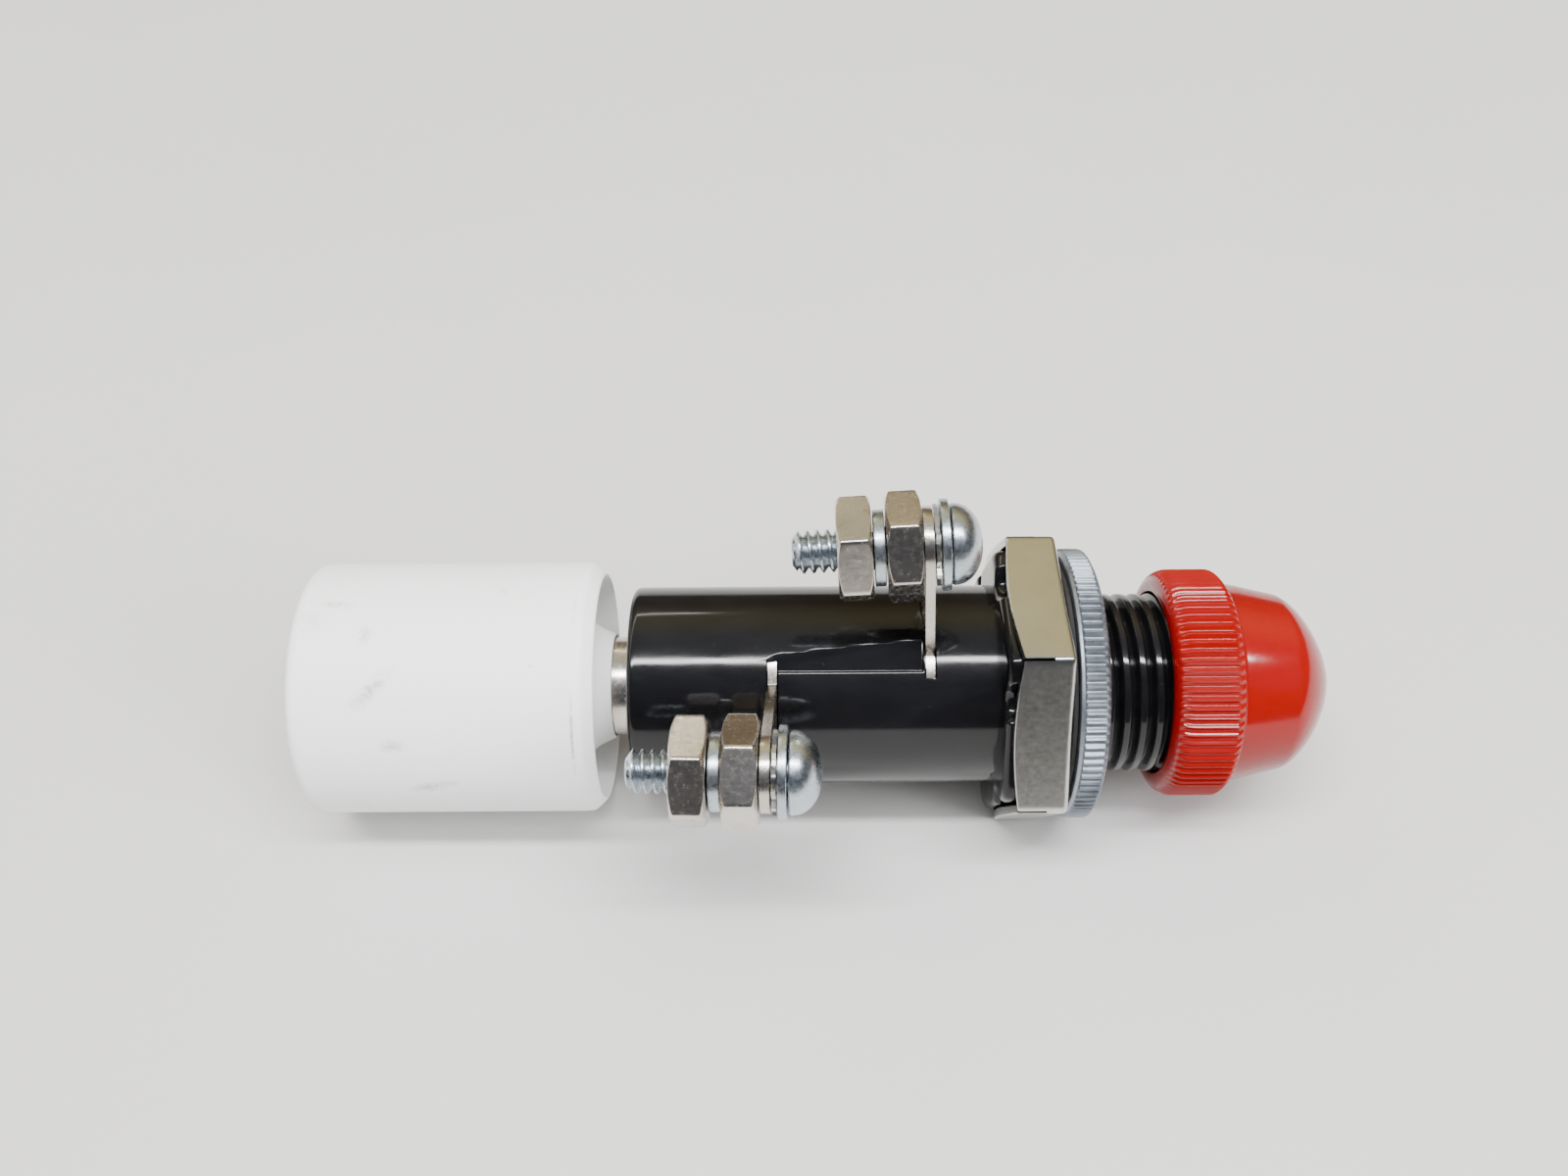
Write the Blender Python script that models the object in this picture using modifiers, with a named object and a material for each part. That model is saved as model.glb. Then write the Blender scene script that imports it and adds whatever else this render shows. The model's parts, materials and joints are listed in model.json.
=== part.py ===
"""Panel indicating light with a porcelain series resistor. Axis along X, lens cap at +X."""

import math

import bmesh
import bpy
from mathutils import Matrix, Vector

MM = 0.001
OBJECT_NAME = "indicating_light"

# Fits.
SEAT_GAP = 0.12
THREAD_GAP = 0.2
POCKET_GAP = 0.15
BORE_GAP = 0.3

# Moulded barrel, flange and threaded bush.
BARREL_D = 17.6
BARREL_REAR_X = -36.9
BARREL_EDGE = 1.0
FLANGE_REAR_X = -5.4
BUSH_D = 15.875
BUSH_PITCH = 1.411
BUSH_THREAD_DEPTH = 0.78
BUSH_FRONT_X = 14.2
LAMP_BORE_REAR_X = -31.5
NOTCH_D = 3.0
NOTCH_OFFSET = -2.5

# Sheet-steel hex shell.
HEX_ACROSS_FLATS = 23.81
HEX_WALL = 0.85
HEX_DEPTH_MID = 4.8
HEX_DEPTH_CORNER = 4.2
HEX_SLIT_W = 0.3
HEX_SLIT_L = 2.4
HEX_BEND = 0.6

# Panel gasket and knurled ring.
GASKET_STEP = 0.7
GASKET_T = 0.4
RING_STEP = 0.1
RING_L = 2.55
RING_BAND_L = 0.45
RING_FLUTES = 100
RING_FLUTE_DEPTH = 0.32

# Lens cap and its seal.
CAP_REAR_X = 9.1
COLLAR_WALL = 1.96
COLLAR_L = 5.8
COLLAR_FLUTES = 79
COLLAR_FLUTE_DEPTH = 0.3
DOME_STEP = 1.3
DOME_BASE_L = 1.2
DOME_CONE_L = 3.7
DOME_CONE_DROP = 0.85
DOME_TIP_X = 24.9
DOME_WALL = 1.5
SEAL_T = 0.6
SEAL_W = 2.3

# Terminals: number 6 screws with 32 threads to the inch.
SCREW_D = 3.5
SCREW_PITCH = 0.794
SCREW_L = 12.7
HEAD_D = 6.6
HEAD_H = 2.6
NUT_ACROSS_FLATS = 7.94
NUT_T = 2.8
INNER_NUT_TURN = {"front": 52.7, "rear": 39.5}
OUTER_NUT_TURN = {"front": 5.7, "rear": 52.5}
SPLIT_D = 6.2
SPLIT_T = 0.9
FLAT_D = 7.4
FLAT_T = 0.7
TOOTH_D = 6.6
TOOTH_T = 0.35
STRIP_W = 6.35
STRIP_T = 0.8
STRIP_SHOULDER_W = 1.72
TERMINAL_RADIUS = 18.0
FRONT_STRIP_X = -11.7
FRONT_STRIP_DEG = 90.0
REAR_STRIP_X = -25.0
REAR_STRIP_DEG = 30.0
TERMINAL_LEAN = {"front": 4.0, "rear": 2.5}

# Recess moulded between the two terminal planes.
RECESS_FACE_DEG = 52.0
RECESS_DEPTH_FRONT = 0.78
RECESS_DEPTH_REAR = 0.33
RECESS_LEDGE = 0.95

# Porcelain resistor housing and the hollow rivet that carries it.
HOUSING_D = 22.2
HOUSING_REAR_X = -64.8
HOUSING_FRONT_X = -39.4
HUB_TIP_X = -38.6
HOUSING_WALL = 3.9
CAVITY_FRONT_X = -45.5
TUBE_D = 8.7
TUBE_WALL = 0.75
TUBE_LIP = 0.7
TUBE_LIP_T = 0.6
PLUG_T = 2.6

# Series resistor.
CORE_D = 8.4
CORE_WALL = 2.2
CORE_REAR_X = -60.5
CORE_FRONT_X = -48.0
FERRULE_L = 1.6
FERRULE_T = 0.5
COIL_WIRE_D = 0.5
COIL_TURNS = 7
LEAD_D = 0.7

# Slide-base lamp and its contact springs.
LAMP_REAR_X = -23.5
LAMP_BLOCK_FRONT_X = -14.3
LAMP_TIP_X = 16.5
LAMP_D = 6.8
LAMP_GLASS_T = 0.55
LAMP_SIDE_ROOM = 1.8
PLATE_T = 0.35
PLATE_GAP = 0.1
SPRING_GAP = 0.08
PLATE_W = 3.0
PLATE_REAR_X = -22.4
PLATE_FRONT_X = -7.4
SPRING_T = 0.3
SPRING_W = 2.6
POST_D = 0.3
POST_GAP = 2.6
POST_FRONT_X = 11.4
BEAD_X = 1.5
DISC_T = 0.8
DISC_REAR_X = -27.0

ROUND = 40
SMALL_ROUND = 20

LIBRARY = {
    "phenolic_black": ((0.012, 0.012, 0.014, 1), 0.0, 0.18),
    "porcelain_white": ((0.86, 0.87, 0.88, 1), 0.0, 0.55),
    "cement_grey": ((0.62, 0.60, 0.56, 1), 0.0, 0.85),
    "lens_red": ((0.60, 0.015, 0.010, 1), 0.0, 0.22),
    "zinc_dull": ((0.47, 0.50, 0.54, 1), 1.0, 0.42),
    "steel_plated": ((0.66, 0.66, 0.65, 1), 1.0, 0.30),
    "nickel_plated": ((0.72, 0.70, 0.67, 1), 1.0, 0.18),
    "zinc_bright": ((0.60, 0.64, 0.68, 1), 1.0, 0.30),
    "brass": ((0.72, 0.52, 0.24, 1), 1.0, 0.28),
    "rubber_black": ((0.016, 0.016, 0.016, 1), 0.0, 0.75),
    "fibre_tan": ((0.36, 0.22, 0.12, 1), 0.0, 0.80),
    "glass_clear": ((0.90, 0.94, 0.95, 1), 0.0, 0.05),
    "tungsten": ((0.32, 0.32, 0.33, 1), 1.0, 0.40),
    "resistance_wire": ((0.50, 0.46, 0.42, 1), 1.0, 0.35),
}


def clear_scene():
    for obj in list(bpy.data.objects):
        bpy.data.objects.remove(obj, do_unlink=True)


def new_collection(name, hidden):
    group = bpy.data.collections.new(name)
    bpy.context.scene.collection.children.link(group)
    group.hide_render = hidden
    return group


def make_material(slot):
    colour, metallic, roughness = LIBRARY[slot]
    material = bpy.data.materials.new(slot)
    material.use_nodes = True
    shader = material.node_tree.nodes["Principled BSDF"]
    shader.inputs["Base Color"].default_value = colour
    shader.inputs["Metallic"].default_value = metallic
    shader.inputs["Roughness"].default_value = roughness
    return material


clear_scene()
PARTS = new_collection(OBJECT_NAME, False)
CUTTERS = new_collection("cutters", True)
MATERIALS = {slot: make_material(slot) for slot in LIBRARY}


def radial(degrees):
    """Unit vector away from the axis; 0 degrees is -Y and 90 degrees is +Z."""
    angle = math.radians(degrees)
    return Vector((0, -math.cos(angle), math.sin(angle)))


def facing(degrees, x, radius=0.0):
    """Local X across, local Y away from the axis, local Z along +X, at (x, radius)."""
    out = radial(degrees)
    along = Vector((1, 0, 0))
    across = out.cross(along)
    turn = Matrix((across, out, along)).transposed().to_4x4()
    place = out * radius * MM + along * x * MM
    return Matrix.Translation(place) @ turn


def adopt(obj, slot, cutter=False):
    (CUTTERS if cutter else PARTS).objects.link(obj)
    if cutter:
        obj.hide_render = True
        obj.display_type = "WIRE"
    if slot:
        obj.data.materials.append(MATERIALS[slot])
    return obj


def smooth(obj, degrees=40.0):
    for face in obj.data.polygons:
        face.use_smooth = True
    obj.data.set_sharp_from_angle(angle=math.radians(degrees))


def lathe(name, profile, slot=None, steps=ROUND, place=None, cutter=False):
    """Turn a profile of (x, radius), outer side first and from +X to -X, about X."""
    mesh = bpy.data.meshes.new(name)
    points = [(x * MM, r * MM, 0) for x, r in profile]
    edges = [(i, i + 1) for i in range(len(points) - 1)]
    if profile[0][1] > 0 or profile[-1][1] > 0:
        edges.append((len(points) - 1, 0))
    mesh.from_pydata(points, edges, [])
    obj = adopt(bpy.data.objects.new(name, mesh), slot, cutter)
    screw = obj.modifiers.new("turn", "SCREW")
    screw.axis = "X"
    screw.steps = steps
    screw.render_steps = steps
    screw.use_merge_vertices = True
    screw.merge_threshold = 0.00001
    screw.use_smooth_shade = True
    if place is not None:
        obj.matrix_world = place
    return obj


def fluted(name, profile, flutes, depth, slot):
    """Turn (x, radius, is_fluted) about X and set every other meridian back by depth."""
    bm = bmesh.new()
    verts = [bm.verts.new((x * MM, r * MM, 0)) for x, r, _ in profile]
    ring = verts + ([verts[0]] if profile[0][1] > 0 else [])
    edges = [bm.edges.new(pair) for pair in zip(ring, ring[1:])]
    bmesh.ops.spin(
        bm,
        geom=verts + edges,
        cent=(0, 0, 0),
        axis=(1, 0, 0),
        angle=math.tau,
        steps=flutes * 2,
        use_merge=True,
    )
    bmesh.ops.remove_doubles(bm, verts=bm.verts, dist=0.000002)
    cut = {(round(x, 4), round(r, 4)) for x, r, is_fluted in profile if is_fluted}
    for vert in bm.verts:
        radius = math.hypot(vert.co.y, vert.co.z)
        key = (round(vert.co.x / MM, 4), round(radius / MM, 4))
        turn = math.atan2(vert.co.z, vert.co.y) / math.tau * flutes * 2
        if key in cut and round(turn) % 2:
            vert.co.y *= (radius - depth * MM) / radius
            vert.co.z *= (radius - depth * MM) / radius
    bmesh.ops.recalc_face_normals(bm, faces=bm.faces)
    mesh = bpy.data.meshes.new(name)
    bm.to_mesh(mesh)
    bm.free()
    obj = adopt(bpy.data.objects.new(name, mesh), slot)
    smooth(obj, 35)
    return obj


def sheet(name, loops, thickness, slot=None, place=None, cutter=False):
    """A flat plate from closed outlines, centred on its local XY plane, as a mesh."""
    curve = bpy.data.curves.new(name, "CURVE")
    curve.dimensions = "2D"
    curve.fill_mode = "BOTH"
    curve.extrude = thickness * MM / 2
    for loop in loops:
        spline = curve.splines.new("POLY")
        spline.points.add(len(loop) - 1)
        spline.use_cyclic_u = True
        for point, (u, v) in zip(spline.points, loop):
            point.co = (u * MM, v * MM, 0, 1)
    return curve_to_mesh(curve, name, slot, place, cutter)


def curve_to_mesh(curve, name, slot, place, cutter=False):
    """Turn a curve into a welded mesh object, and drop the curve."""
    draft = bpy.data.objects.new(name + "_curve", curve)
    PARTS.objects.link(draft)
    bpy.context.view_layer.update()
    graph = bpy.context.evaluated_depsgraph_get()
    mesh = bpy.data.meshes.new_from_object(draft.evaluated_get(graph))
    mesh.name = name
    matrix = draft.matrix_world.copy() if place is None else place
    bpy.data.objects.remove(draft, do_unlink=True)
    bm = bmesh.new()
    bm.from_mesh(mesh)
    bmesh.ops.remove_doubles(bm, verts=bm.verts, dist=0.000001)
    bmesh.ops.recalc_face_normals(bm, faces=bm.faces)
    bm.to_mesh(mesh)
    bm.free()
    mesh.materials.clear()
    obj = adopt(bpy.data.objects.new(name, mesh), slot, cutter)
    obj.matrix_world = matrix
    return obj


def wire(name, points, diameter, slot, place=None):
    """A round wire along points."""
    curve = bpy.data.curves.new(name, "CURVE")
    curve.dimensions = "3D"
    curve.bevel_depth = diameter * MM / 2
    curve.bevel_resolution = 2
    curve.use_fill_caps = True
    spline = curve.splines.new("POLY")
    spline.points.add(len(points) - 1)
    for point, (x, y, z) in zip(spline.points, points):
        point.co = (x * MM, y * MM, z * MM, 1)
    obj = curve_to_mesh(curve, name, slot, place)
    smooth(obj)
    return obj


def box(name, low, high, place=None, slot=None, cutter=True):
    """A box between two corners of the placed frame."""
    mesh = bpy.data.meshes.new(name)
    bm = bmesh.new()
    size = [(b - a) * MM for a, b in zip(low, high)]
    centre = [(a + b) * MM / 2 for a, b in zip(low, high)]
    bmesh.ops.create_cube(bm, size=1.0)
    bmesh.ops.scale(bm, vec=size, verts=bm.verts)
    bmesh.ops.translate(bm, vec=centre, verts=bm.verts)
    bm.to_mesh(mesh)
    bm.free()
    obj = adopt(bpy.data.objects.new(name, mesh), slot, cutter)
    if place is not None:
        obj.matrix_world = place
    return obj


def boolean(obj, other, operation="DIFFERENCE"):
    modifier = obj.modifiers.new(other.name, "BOOLEAN")
    modifier.solver = "EXACT"
    modifier.operation = operation
    modifier.object = other
    return obj


def circle(radius, count=SMALL_ROUND, centre=(0.0, 0.0)):
    turns = [math.tau * i / count for i in range(count)]
    return [(centre[0] + radius * math.cos(a), centre[1] + radius * math.sin(a)) for a in turns]


def hexagon(across_flats):
    """Corners of a hexagon with one flat facing straight down."""
    radius = across_flats / math.sqrt(3)
    turns = [math.radians(60 * i) for i in range(6)]
    return [(radius * math.cos(a), radius * math.sin(a)) for a in turns]


def thread_profile(front, rear, major, pitch, depth, crest=0.5):
    """Outline of a ridged thread from front to rear, with broad rounded crests."""
    points = []
    x = front
    while x - pitch > rear:
        points += [
            (x - pitch * 0.12, major / 2 - depth),
            (x - pitch * (0.56 - crest / 2), major / 2),
            (x - pitch * (0.56 + crest / 2), major / 2),
        ]
        x -= pitch
    return points


def screw_thread_profile(front, rear, major, pitch, depth):
    points = []
    x = front
    while x - pitch > rear:
        points += [(x - pitch * 0.1, major / 2 - depth), (x - pitch * 0.6, major / 2)]
        x -= pitch
    return points


# Derived positions.
HEX_FRONT_X = 0.0
FLANGE_FRONT_X = HEX_FRONT_X - HEX_WALL - POCKET_GAP
FLANGE_ACROSS_FLATS = HEX_ACROSS_FLATS - 2 * HEX_WALL - 2 * POCKET_GAP
GASKET_X = HEX_FRONT_X + SEAT_GAP
RING_X = GASKET_X + GASKET_T + SEAT_GAP
BUSH_BORE_D = BUSH_D + 2 * THREAD_GAP
SEAL_X = BUSH_FRONT_X + SEAT_GAP
SHOULDER_X = SEAL_X + SEAL_T + SEAT_GAP
NUT_BORE_D = SCREW_D + 2 * POCKET_GAP
COLLAR_FRONT_X = CAP_REAR_X + COLLAR_L
COLLAR_D = BUSH_BORE_D + 2 * COLLAR_WALL
DOME_D = COLLAR_D - 2 * DOME_STEP
GASKET_D = HEX_ACROSS_FLATS - 2 * GASKET_STEP
RING_D = HEX_ACROSS_FLATS + 2 * RING_STEP
LAMP_BORE_D = LAMP_D + 2 * LAMP_SIDE_ROOM
PLATE_OUT = LAMP_D / 2 + PLATE_GAP + PLATE_T
LIP_D = TUBE_D + 2 * TUBE_LIP
CAVITY_D = HOUSING_D - 2 * HOUSING_WALL
STRIP_BASE_W = STRIP_W + 2 * STRIP_SHOULDER_W
LEAN_START = BARREL_D / 2 - 0.8


def moulding_profile():
    barrel = BARREL_D / 2
    bush = BUSH_D / 2
    bore = LAMP_BORE_D / 2
    tube_hole = TUBE_D / 2 + POCKET_GAP
    lip_pocket = LIP_D / 2 + BORE_GAP
    flange = FLANGE_ACROSS_FLATS / math.sqrt(3) - 0.5
    start = HEX_FRONT_X - 0.1
    ridges = thread_profile(BUSH_FRONT_X, start, BUSH_D, BUSH_PITCH, BUSH_THREAD_DEPTH)
    return (
        [(BUSH_FRONT_X, bush - BUSH_THREAD_DEPTH - 0.1)]
        + ridges
        + [
            (start, bush - 0.1),
            (FLANGE_FRONT_X, bush - 0.1),
            (FLANGE_FRONT_X, flange),
            (FLANGE_REAR_X + 0.9, flange),
            (FLANGE_REAR_X + 0.25, flange - 0.35),
            (FLANGE_REAR_X, flange - 1.1),
            (FLANGE_REAR_X, barrel),
            (BARREL_REAR_X + BARREL_EDGE, barrel),
            (BARREL_REAR_X + BARREL_EDGE * 0.3, barrel - BARREL_EDGE * 0.3),
            (BARREL_REAR_X, barrel - BARREL_EDGE),
            (BARREL_REAR_X, tube_hole),
            (LAMP_BORE_REAR_X, tube_hole),
            (LAMP_BORE_REAR_X, lip_pocket),
            (LAMP_BORE_REAR_X + TUBE_LIP_T + 3 * SEAT_GAP, lip_pocket),
            (LAMP_BORE_REAR_X + TUBE_LIP_T + 3 * SEAT_GAP, bore),
            (BUSH_FRONT_X, bore),
        ]
    )


def flange_outline():
    """A hexagon with a rounded notch near the middle of each side."""
    points = []
    reach = FLANGE_ACROSS_FLATS / 2
    corner = FLANGE_ACROSS_FLATS / math.sqrt(3)
    for i in range(6):
        side = math.radians(60 * i + 30)
        out = (math.cos(side), math.sin(side))
        along = (-out[1], out[0])
        points.append((corner * math.cos(side - math.pi / 6), corner * math.sin(side - math.pi / 6)))
        for j in range(7):
            turn = math.pi * j / 6
            u = NOTCH_OFFSET - math.cos(turn) * NOTCH_D / 2
            v = reach - math.sin(turn) * NOTCH_D * 0.42
            points.append((out[0] * v + along[0] * u, out[1] * v + along[1] * u))
    return points


def flange_cutter():
    """Everything outside the lobed flange outline, over the flange's length only."""
    outer = circle(HEX_ACROSS_FLATS, 24)
    length = FLANGE_FRONT_X - FLANGE_REAR_X + 0.4
    middle = (FLANGE_FRONT_X + FLANGE_REAR_X) / 2
    frame = facing(90, middle)
    loops = [outer, flange_outline()]
    return sheet("cut_flange_outline", loops, length, place=frame, cutter=True)


def recess_cutter():
    """A tapered box whose floor faces RECESS_FACE_DEG between the terminal planes."""
    top = BARREL_D / 2 + 2
    front = FRONT_STRIP_X - POCKET_GAP
    rear = REAR_STRIP_X + STRIP_T / 2
    frame = facing(RECESS_FACE_DEG, 0.0)
    cutter = box("cut_recess", (RECESS_LEDGE, 0.0, rear), (6.0, top, front), frame)
    for vert in cutter.data.vertices:
        if vert.co.y < top * MM / 2:
            at_front = vert.co.z > (front + rear) * MM / 2
            depth = RECESS_DEPTH_FRONT if at_front else RECESS_DEPTH_REAR
            vert.co.y = (BARREL_D / 2 - depth) * MM
    bevel = cutter.modifiers.new("round", "BEVEL")
    bevel.width = 0.00025
    bevel.segments = 2
    bevel.limit_method = "ANGLE"
    return cutter


def pocket_cutter(name, degrees, x):
    wide = STRIP_BASE_W / 2 + POCKET_GAP
    low = (-wide, LAMP_BORE_D / 2 - 1.2, -POCKET_GAP)
    high = (wide, BARREL_D / 2 + 1, STRIP_T + POCKET_GAP)
    return box(name, low, high, facing(degrees, x))


def make_moulding():
    body = lathe("barrel_moulding", moulding_profile(), "phenolic_black")
    boolean(body, flange_cutter())
    boolean(body, recess_cutter())
    boolean(body, pocket_cutter("cut_front_pocket", FRONT_STRIP_DEG, FRONT_STRIP_X))
    boolean(body, pocket_cutter("cut_rear_pocket", REAR_STRIP_DEG, REAR_STRIP_X))


def slit_star(corner):
    """A six-armed star whose arms are the corner slits."""
    points = []
    half = HEX_SLIT_W / 2
    hub = corner - 4.0
    for i in range(6):
        turn = math.radians(60 * i)
        for u, v in ((hub, -half), (corner + 1.0, -half), (corner + 1.0, half), (hub, half)):
            across = u * math.cos(turn) - v * math.sin(turn)
            points.append((across, u * math.sin(turn) + v * math.cos(turn)))
    return points


def slit_frame():
    return facing(90, HEX_SLIT_L - HEX_DEPTH_CORNER - HEX_DEPTH_MID / 2)


def make_hex_shell():
    corner = HEX_ACROSS_FLATS / math.sqrt(3)
    length = HEX_DEPTH_MID + 3.0
    outer = [hexagon(HEX_ACROSS_FLATS)]
    shell = sheet("hex_shell", outer, length, "steel_plated", facing(90, -length / 2))
    bevel = shell.modifiers.new("bend", "BEVEL")
    bevel.width = HEX_BEND * MM
    bevel.segments = 3
    bevel.limit_method = "ANGLE"
    bevel.angle_limit = math.radians(30)
    slope = (HEX_DEPTH_MID - HEX_DEPTH_CORNER) / (corner - HEX_ACROSS_FLATS / 2)
    near = HEX_ACROSS_FLATS / 2 - 3.0
    far = corner + 1.0
    rear_near = -HEX_DEPTH_MID - 3.0 * slope
    rear_far = -HEX_DEPTH_CORNER + 1.0 * slope
    trim = [(1.0, 0.0), (1.0, far), (rear_far, far), (rear_near, near), (rear_near, 0.0)]
    boolean(shell, lathe("trim_hex", trim, cutter=True), "INTERSECT")
    inner = hexagon(HEX_ACROSS_FLATS - 2 * HEX_WALL)
    frame = facing(90, -length / 2 - HEX_WALL)
    boolean(shell, sheet("cut_hex_inside", [inner], length, None, frame, True))
    hole = sheet("cut_hex_hole", [circle(BUSH_BORE_D / 2, ROUND)], 6.0, None, facing(90, 0), True)
    boolean(shell, hole)
    slits = sheet("cut_slits", [slit_star(corner)], HEX_DEPTH_MID, None, slit_frame(), True)
    boolean(shell, slits)


def make_gasket():
    inner = BUSH_BORE_D / 2
    outer = GASKET_D / 2
    front = GASKET_X + GASKET_T
    profile = [(front, outer), (GASKET_X, outer), (GASKET_X, inner), (front, inner)]
    lathe("panel_gasket", profile, "rubber_black")


def make_ring():
    front = RING_X + RING_L
    band = RING_X + RING_BAND_L
    outer = RING_D / 2
    inner = BUSH_BORE_D / 2
    profile = [
        (front, inner + 0.4, False),
        (front, outer - 0.9, False),
        (front - 0.35, outer - 0.05, True),
        (band, outer, True),
        (band - 0.12, outer - RING_FLUTE_DEPTH, False),
        (RING_X, outer - RING_FLUTE_DEPTH, False),
        (RING_X, inner, False),
        (front - 0.4, inner, False),
    ]
    fluted("knurled_ring", profile, RING_FLUTES, RING_FLUTE_DEPTH, "zinc_dull")


def dome_curve(base_r, tip_x, count):
    """Points of a bullet-shaped dome from its tip to its base: a rounded nose on a cone."""
    base_x = COLLAR_FRONT_X + DOME_BASE_L
    nose_x = base_x + DOME_CONE_L
    nose_r = base_r - DOME_CONE_DROP
    points = [(tip_x, 0.0)]
    for i in range(1, count):
        t = math.pi / 2 * (1 - i / (count - 1))
        x = nose_x + (tip_x - nose_x) * math.sin(t) ** 1.3
        points.append((x, nose_r * math.cos(t) ** 1.45))
    return points + [(base_x, base_r)]


def make_cap():
    collar = COLLAR_D / 2
    base = DOME_D / 2
    outer = dome_curve(base - 0.05, DOME_TIP_X, 5)
    inner = dome_curve(base - DOME_WALL, DOME_TIP_X - DOME_WALL, 3)
    bore = BUSH_BORE_D / 2
    profile = [(x, r, False) for x, r in outer]
    profile += [
        (COLLAR_FRONT_X + 0.1, base, False),
        (COLLAR_FRONT_X - 0.05, collar - 0.75, False),
        (COLLAR_FRONT_X - 0.8, collar, True),
        (CAP_REAR_X + 0.7, collar, True),
        (CAP_REAR_X + 0.25, collar - 0.5, False),
        (CAP_REAR_X, collar - 1.35, False),
        (CAP_REAR_X, bore, False),
        (SHOULDER_X, bore, False),
    ]
    profile += [(SHOULDER_X, base - DOME_WALL, False)]
    profile += [(x, r, False) for x, r in reversed(inner)]
    fluted("lens_cap", profile, COLLAR_FLUTES, COLLAR_FLUTE_DEPTH, "lens_red")


def make_cap_seal():
    outer = BUSH_D / 2 - 0.05
    inner = outer - SEAL_W
    front = SEAL_X + SEAL_T
    profile = [(front, outer), (SEAL_X, outer), (SEAL_X, inner), (front, inner)]
    lathe("cap_seal", profile, "rubber_black")


def strip_outline():
    half = STRIP_W / 2
    wide = STRIP_BASE_W / 2
    flush = BARREL_D / 2 - 0.3
    inner = LAMP_BORE_D / 2 - 0.25
    tip = [
        (half * math.cos(math.pi * i / 10), TERMINAL_RADIUS + half * math.sin(math.pi * i / 10))
        for i in range(11)
    ]
    shoulder = [half, (half + wide) / 2, wide]
    left = [(-w, math.sqrt(flush**2 - w**2)) for w in shoulder]
    right = [(w, math.sqrt(flush**2 - w**2)) for w in reversed(shoulder)]
    return tip + left + [(-wide, inner), (wide, inner)] + right


def make_strip(name, degrees, x, lean):
    """A strip bent back by lean degrees where it leaves the barrel."""
    hole = circle(SCREW_D / 2 + POCKET_GAP, SMALL_ROUND, (0.0, TERMINAL_RADIUS))
    frame = facing(degrees, x + STRIP_T / 2)
    strip = sheet(name, [strip_outline(), hole], STRIP_T, "nickel_plated", frame)
    bm = bmesh.new()
    bm.from_mesh(strip.data)
    everything = bm.verts[:] + bm.edges[:] + bm.faces[:]
    bend = Vector((0, LEAN_START * MM, 0))
    bmesh.ops.bisect_plane(bm, geom=everything, plane_co=bend, plane_no=(0, 1, 0))
    for vert in bm.verts:
        beyond = max(0.0, vert.co.y - LEAN_START * MM)
        vert.co.z -= beyond * math.tan(math.radians(lean))
    bm.to_mesh(strip.data)
    bm.free()


def leaned(degrees, x, lean):
    """Frame of a terminal's screw, leaning back by lean degrees about the strip's bend."""
    out = radial(degrees)
    middle = Matrix.Translation((x * MM, 0, 0))
    back = (TERMINAL_RADIUS - LEAN_START) * math.tan(math.radians(lean)) * MM
    place = Matrix.Translation(out * TERMINAL_RADIUS * MM + Vector((-back, 0, 0)))
    across = out.cross(Vector((1, 0, 0)))
    turn = Matrix.Rotation(-math.radians(lean), 4, across)
    return place @ middle @ turn @ middle.inverted()


def make_screw(name, place, head_x):
    """A slotted round-head screw with its head towards +X; head_x is under the head."""
    radius = HEAD_D / 2
    head = [
        (head_x + HEAD_H, 0.0),
        (head_x + HEAD_H * 0.97, radius * 0.35),
        (head_x + HEAD_H * 0.84, radius * 0.66),
        (head_x + HEAD_H * 0.58, radius * 0.89),
        (head_x + HEAD_H * 0.26, radius * 0.985),
        (head_x, radius),
    ]
    tip = head_x - SCREW_L
    root = SCREW_D / 2 - 0.45
    ridges = screw_thread_profile(head_x - 0.4, tip + 0.5, SCREW_D, SCREW_PITCH, 0.45)
    profile = head + [(head_x, root)] + ridges + [(tip + 0.25, root), (tip, root - 0.3), (tip, 0.0)]
    screw = lathe(name, profile, "zinc_bright", SMALL_ROUND, place)
    low = (head_x + HEAD_H * 0.55, -0.5, -radius - 1)
    high = (head_x + HEAD_H + 1, 0.5, radius + 1)
    boolean(screw, box(f"cut_{name}_slot", low, high, place))


def make_nut(name, place, x, spin):
    across = NUT_ACROSS_FLATS
    corner = across / math.sqrt(3)
    middle = Matrix.Translation((x * MM + NUT_T * MM / 2, 0, 0))
    turn = Matrix.Rotation(math.radians(spin), 4, "X") @ facing(90, 0).to_3x3().to_4x4()
    hole = circle(NUT_BORE_D / 2)
    nut = sheet(name, [hexagon(across), hole], NUT_T, "nickel_plated", place @ middle @ turn)
    drop = 0.45
    front = x + NUT_T
    profile = [
        (front + 0.01, 0.0),
        (front + 0.01, across / 2 - 0.05),
        (front - drop, corner + 0.2),
        (x + drop, corner + 0.2),
        (x - 0.01, across / 2 - 0.05),
        (x - 0.01, 0.0),
    ]
    trim = lathe(f"trim_{name}", profile, None, SMALL_ROUND, place, True)
    boolean(nut, trim, "INTERSECT")


def make_washer(name, place, x, outer_d, thickness, slot):
    inner = SCREW_D / 2 + POCKET_GAP
    front = x + thickness
    outer = outer_d / 2
    profile = [(front, outer), (x, outer), (x, inner), (front, inner)]
    return lathe(name, profile, slot, SMALL_ROUND, place)


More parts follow.
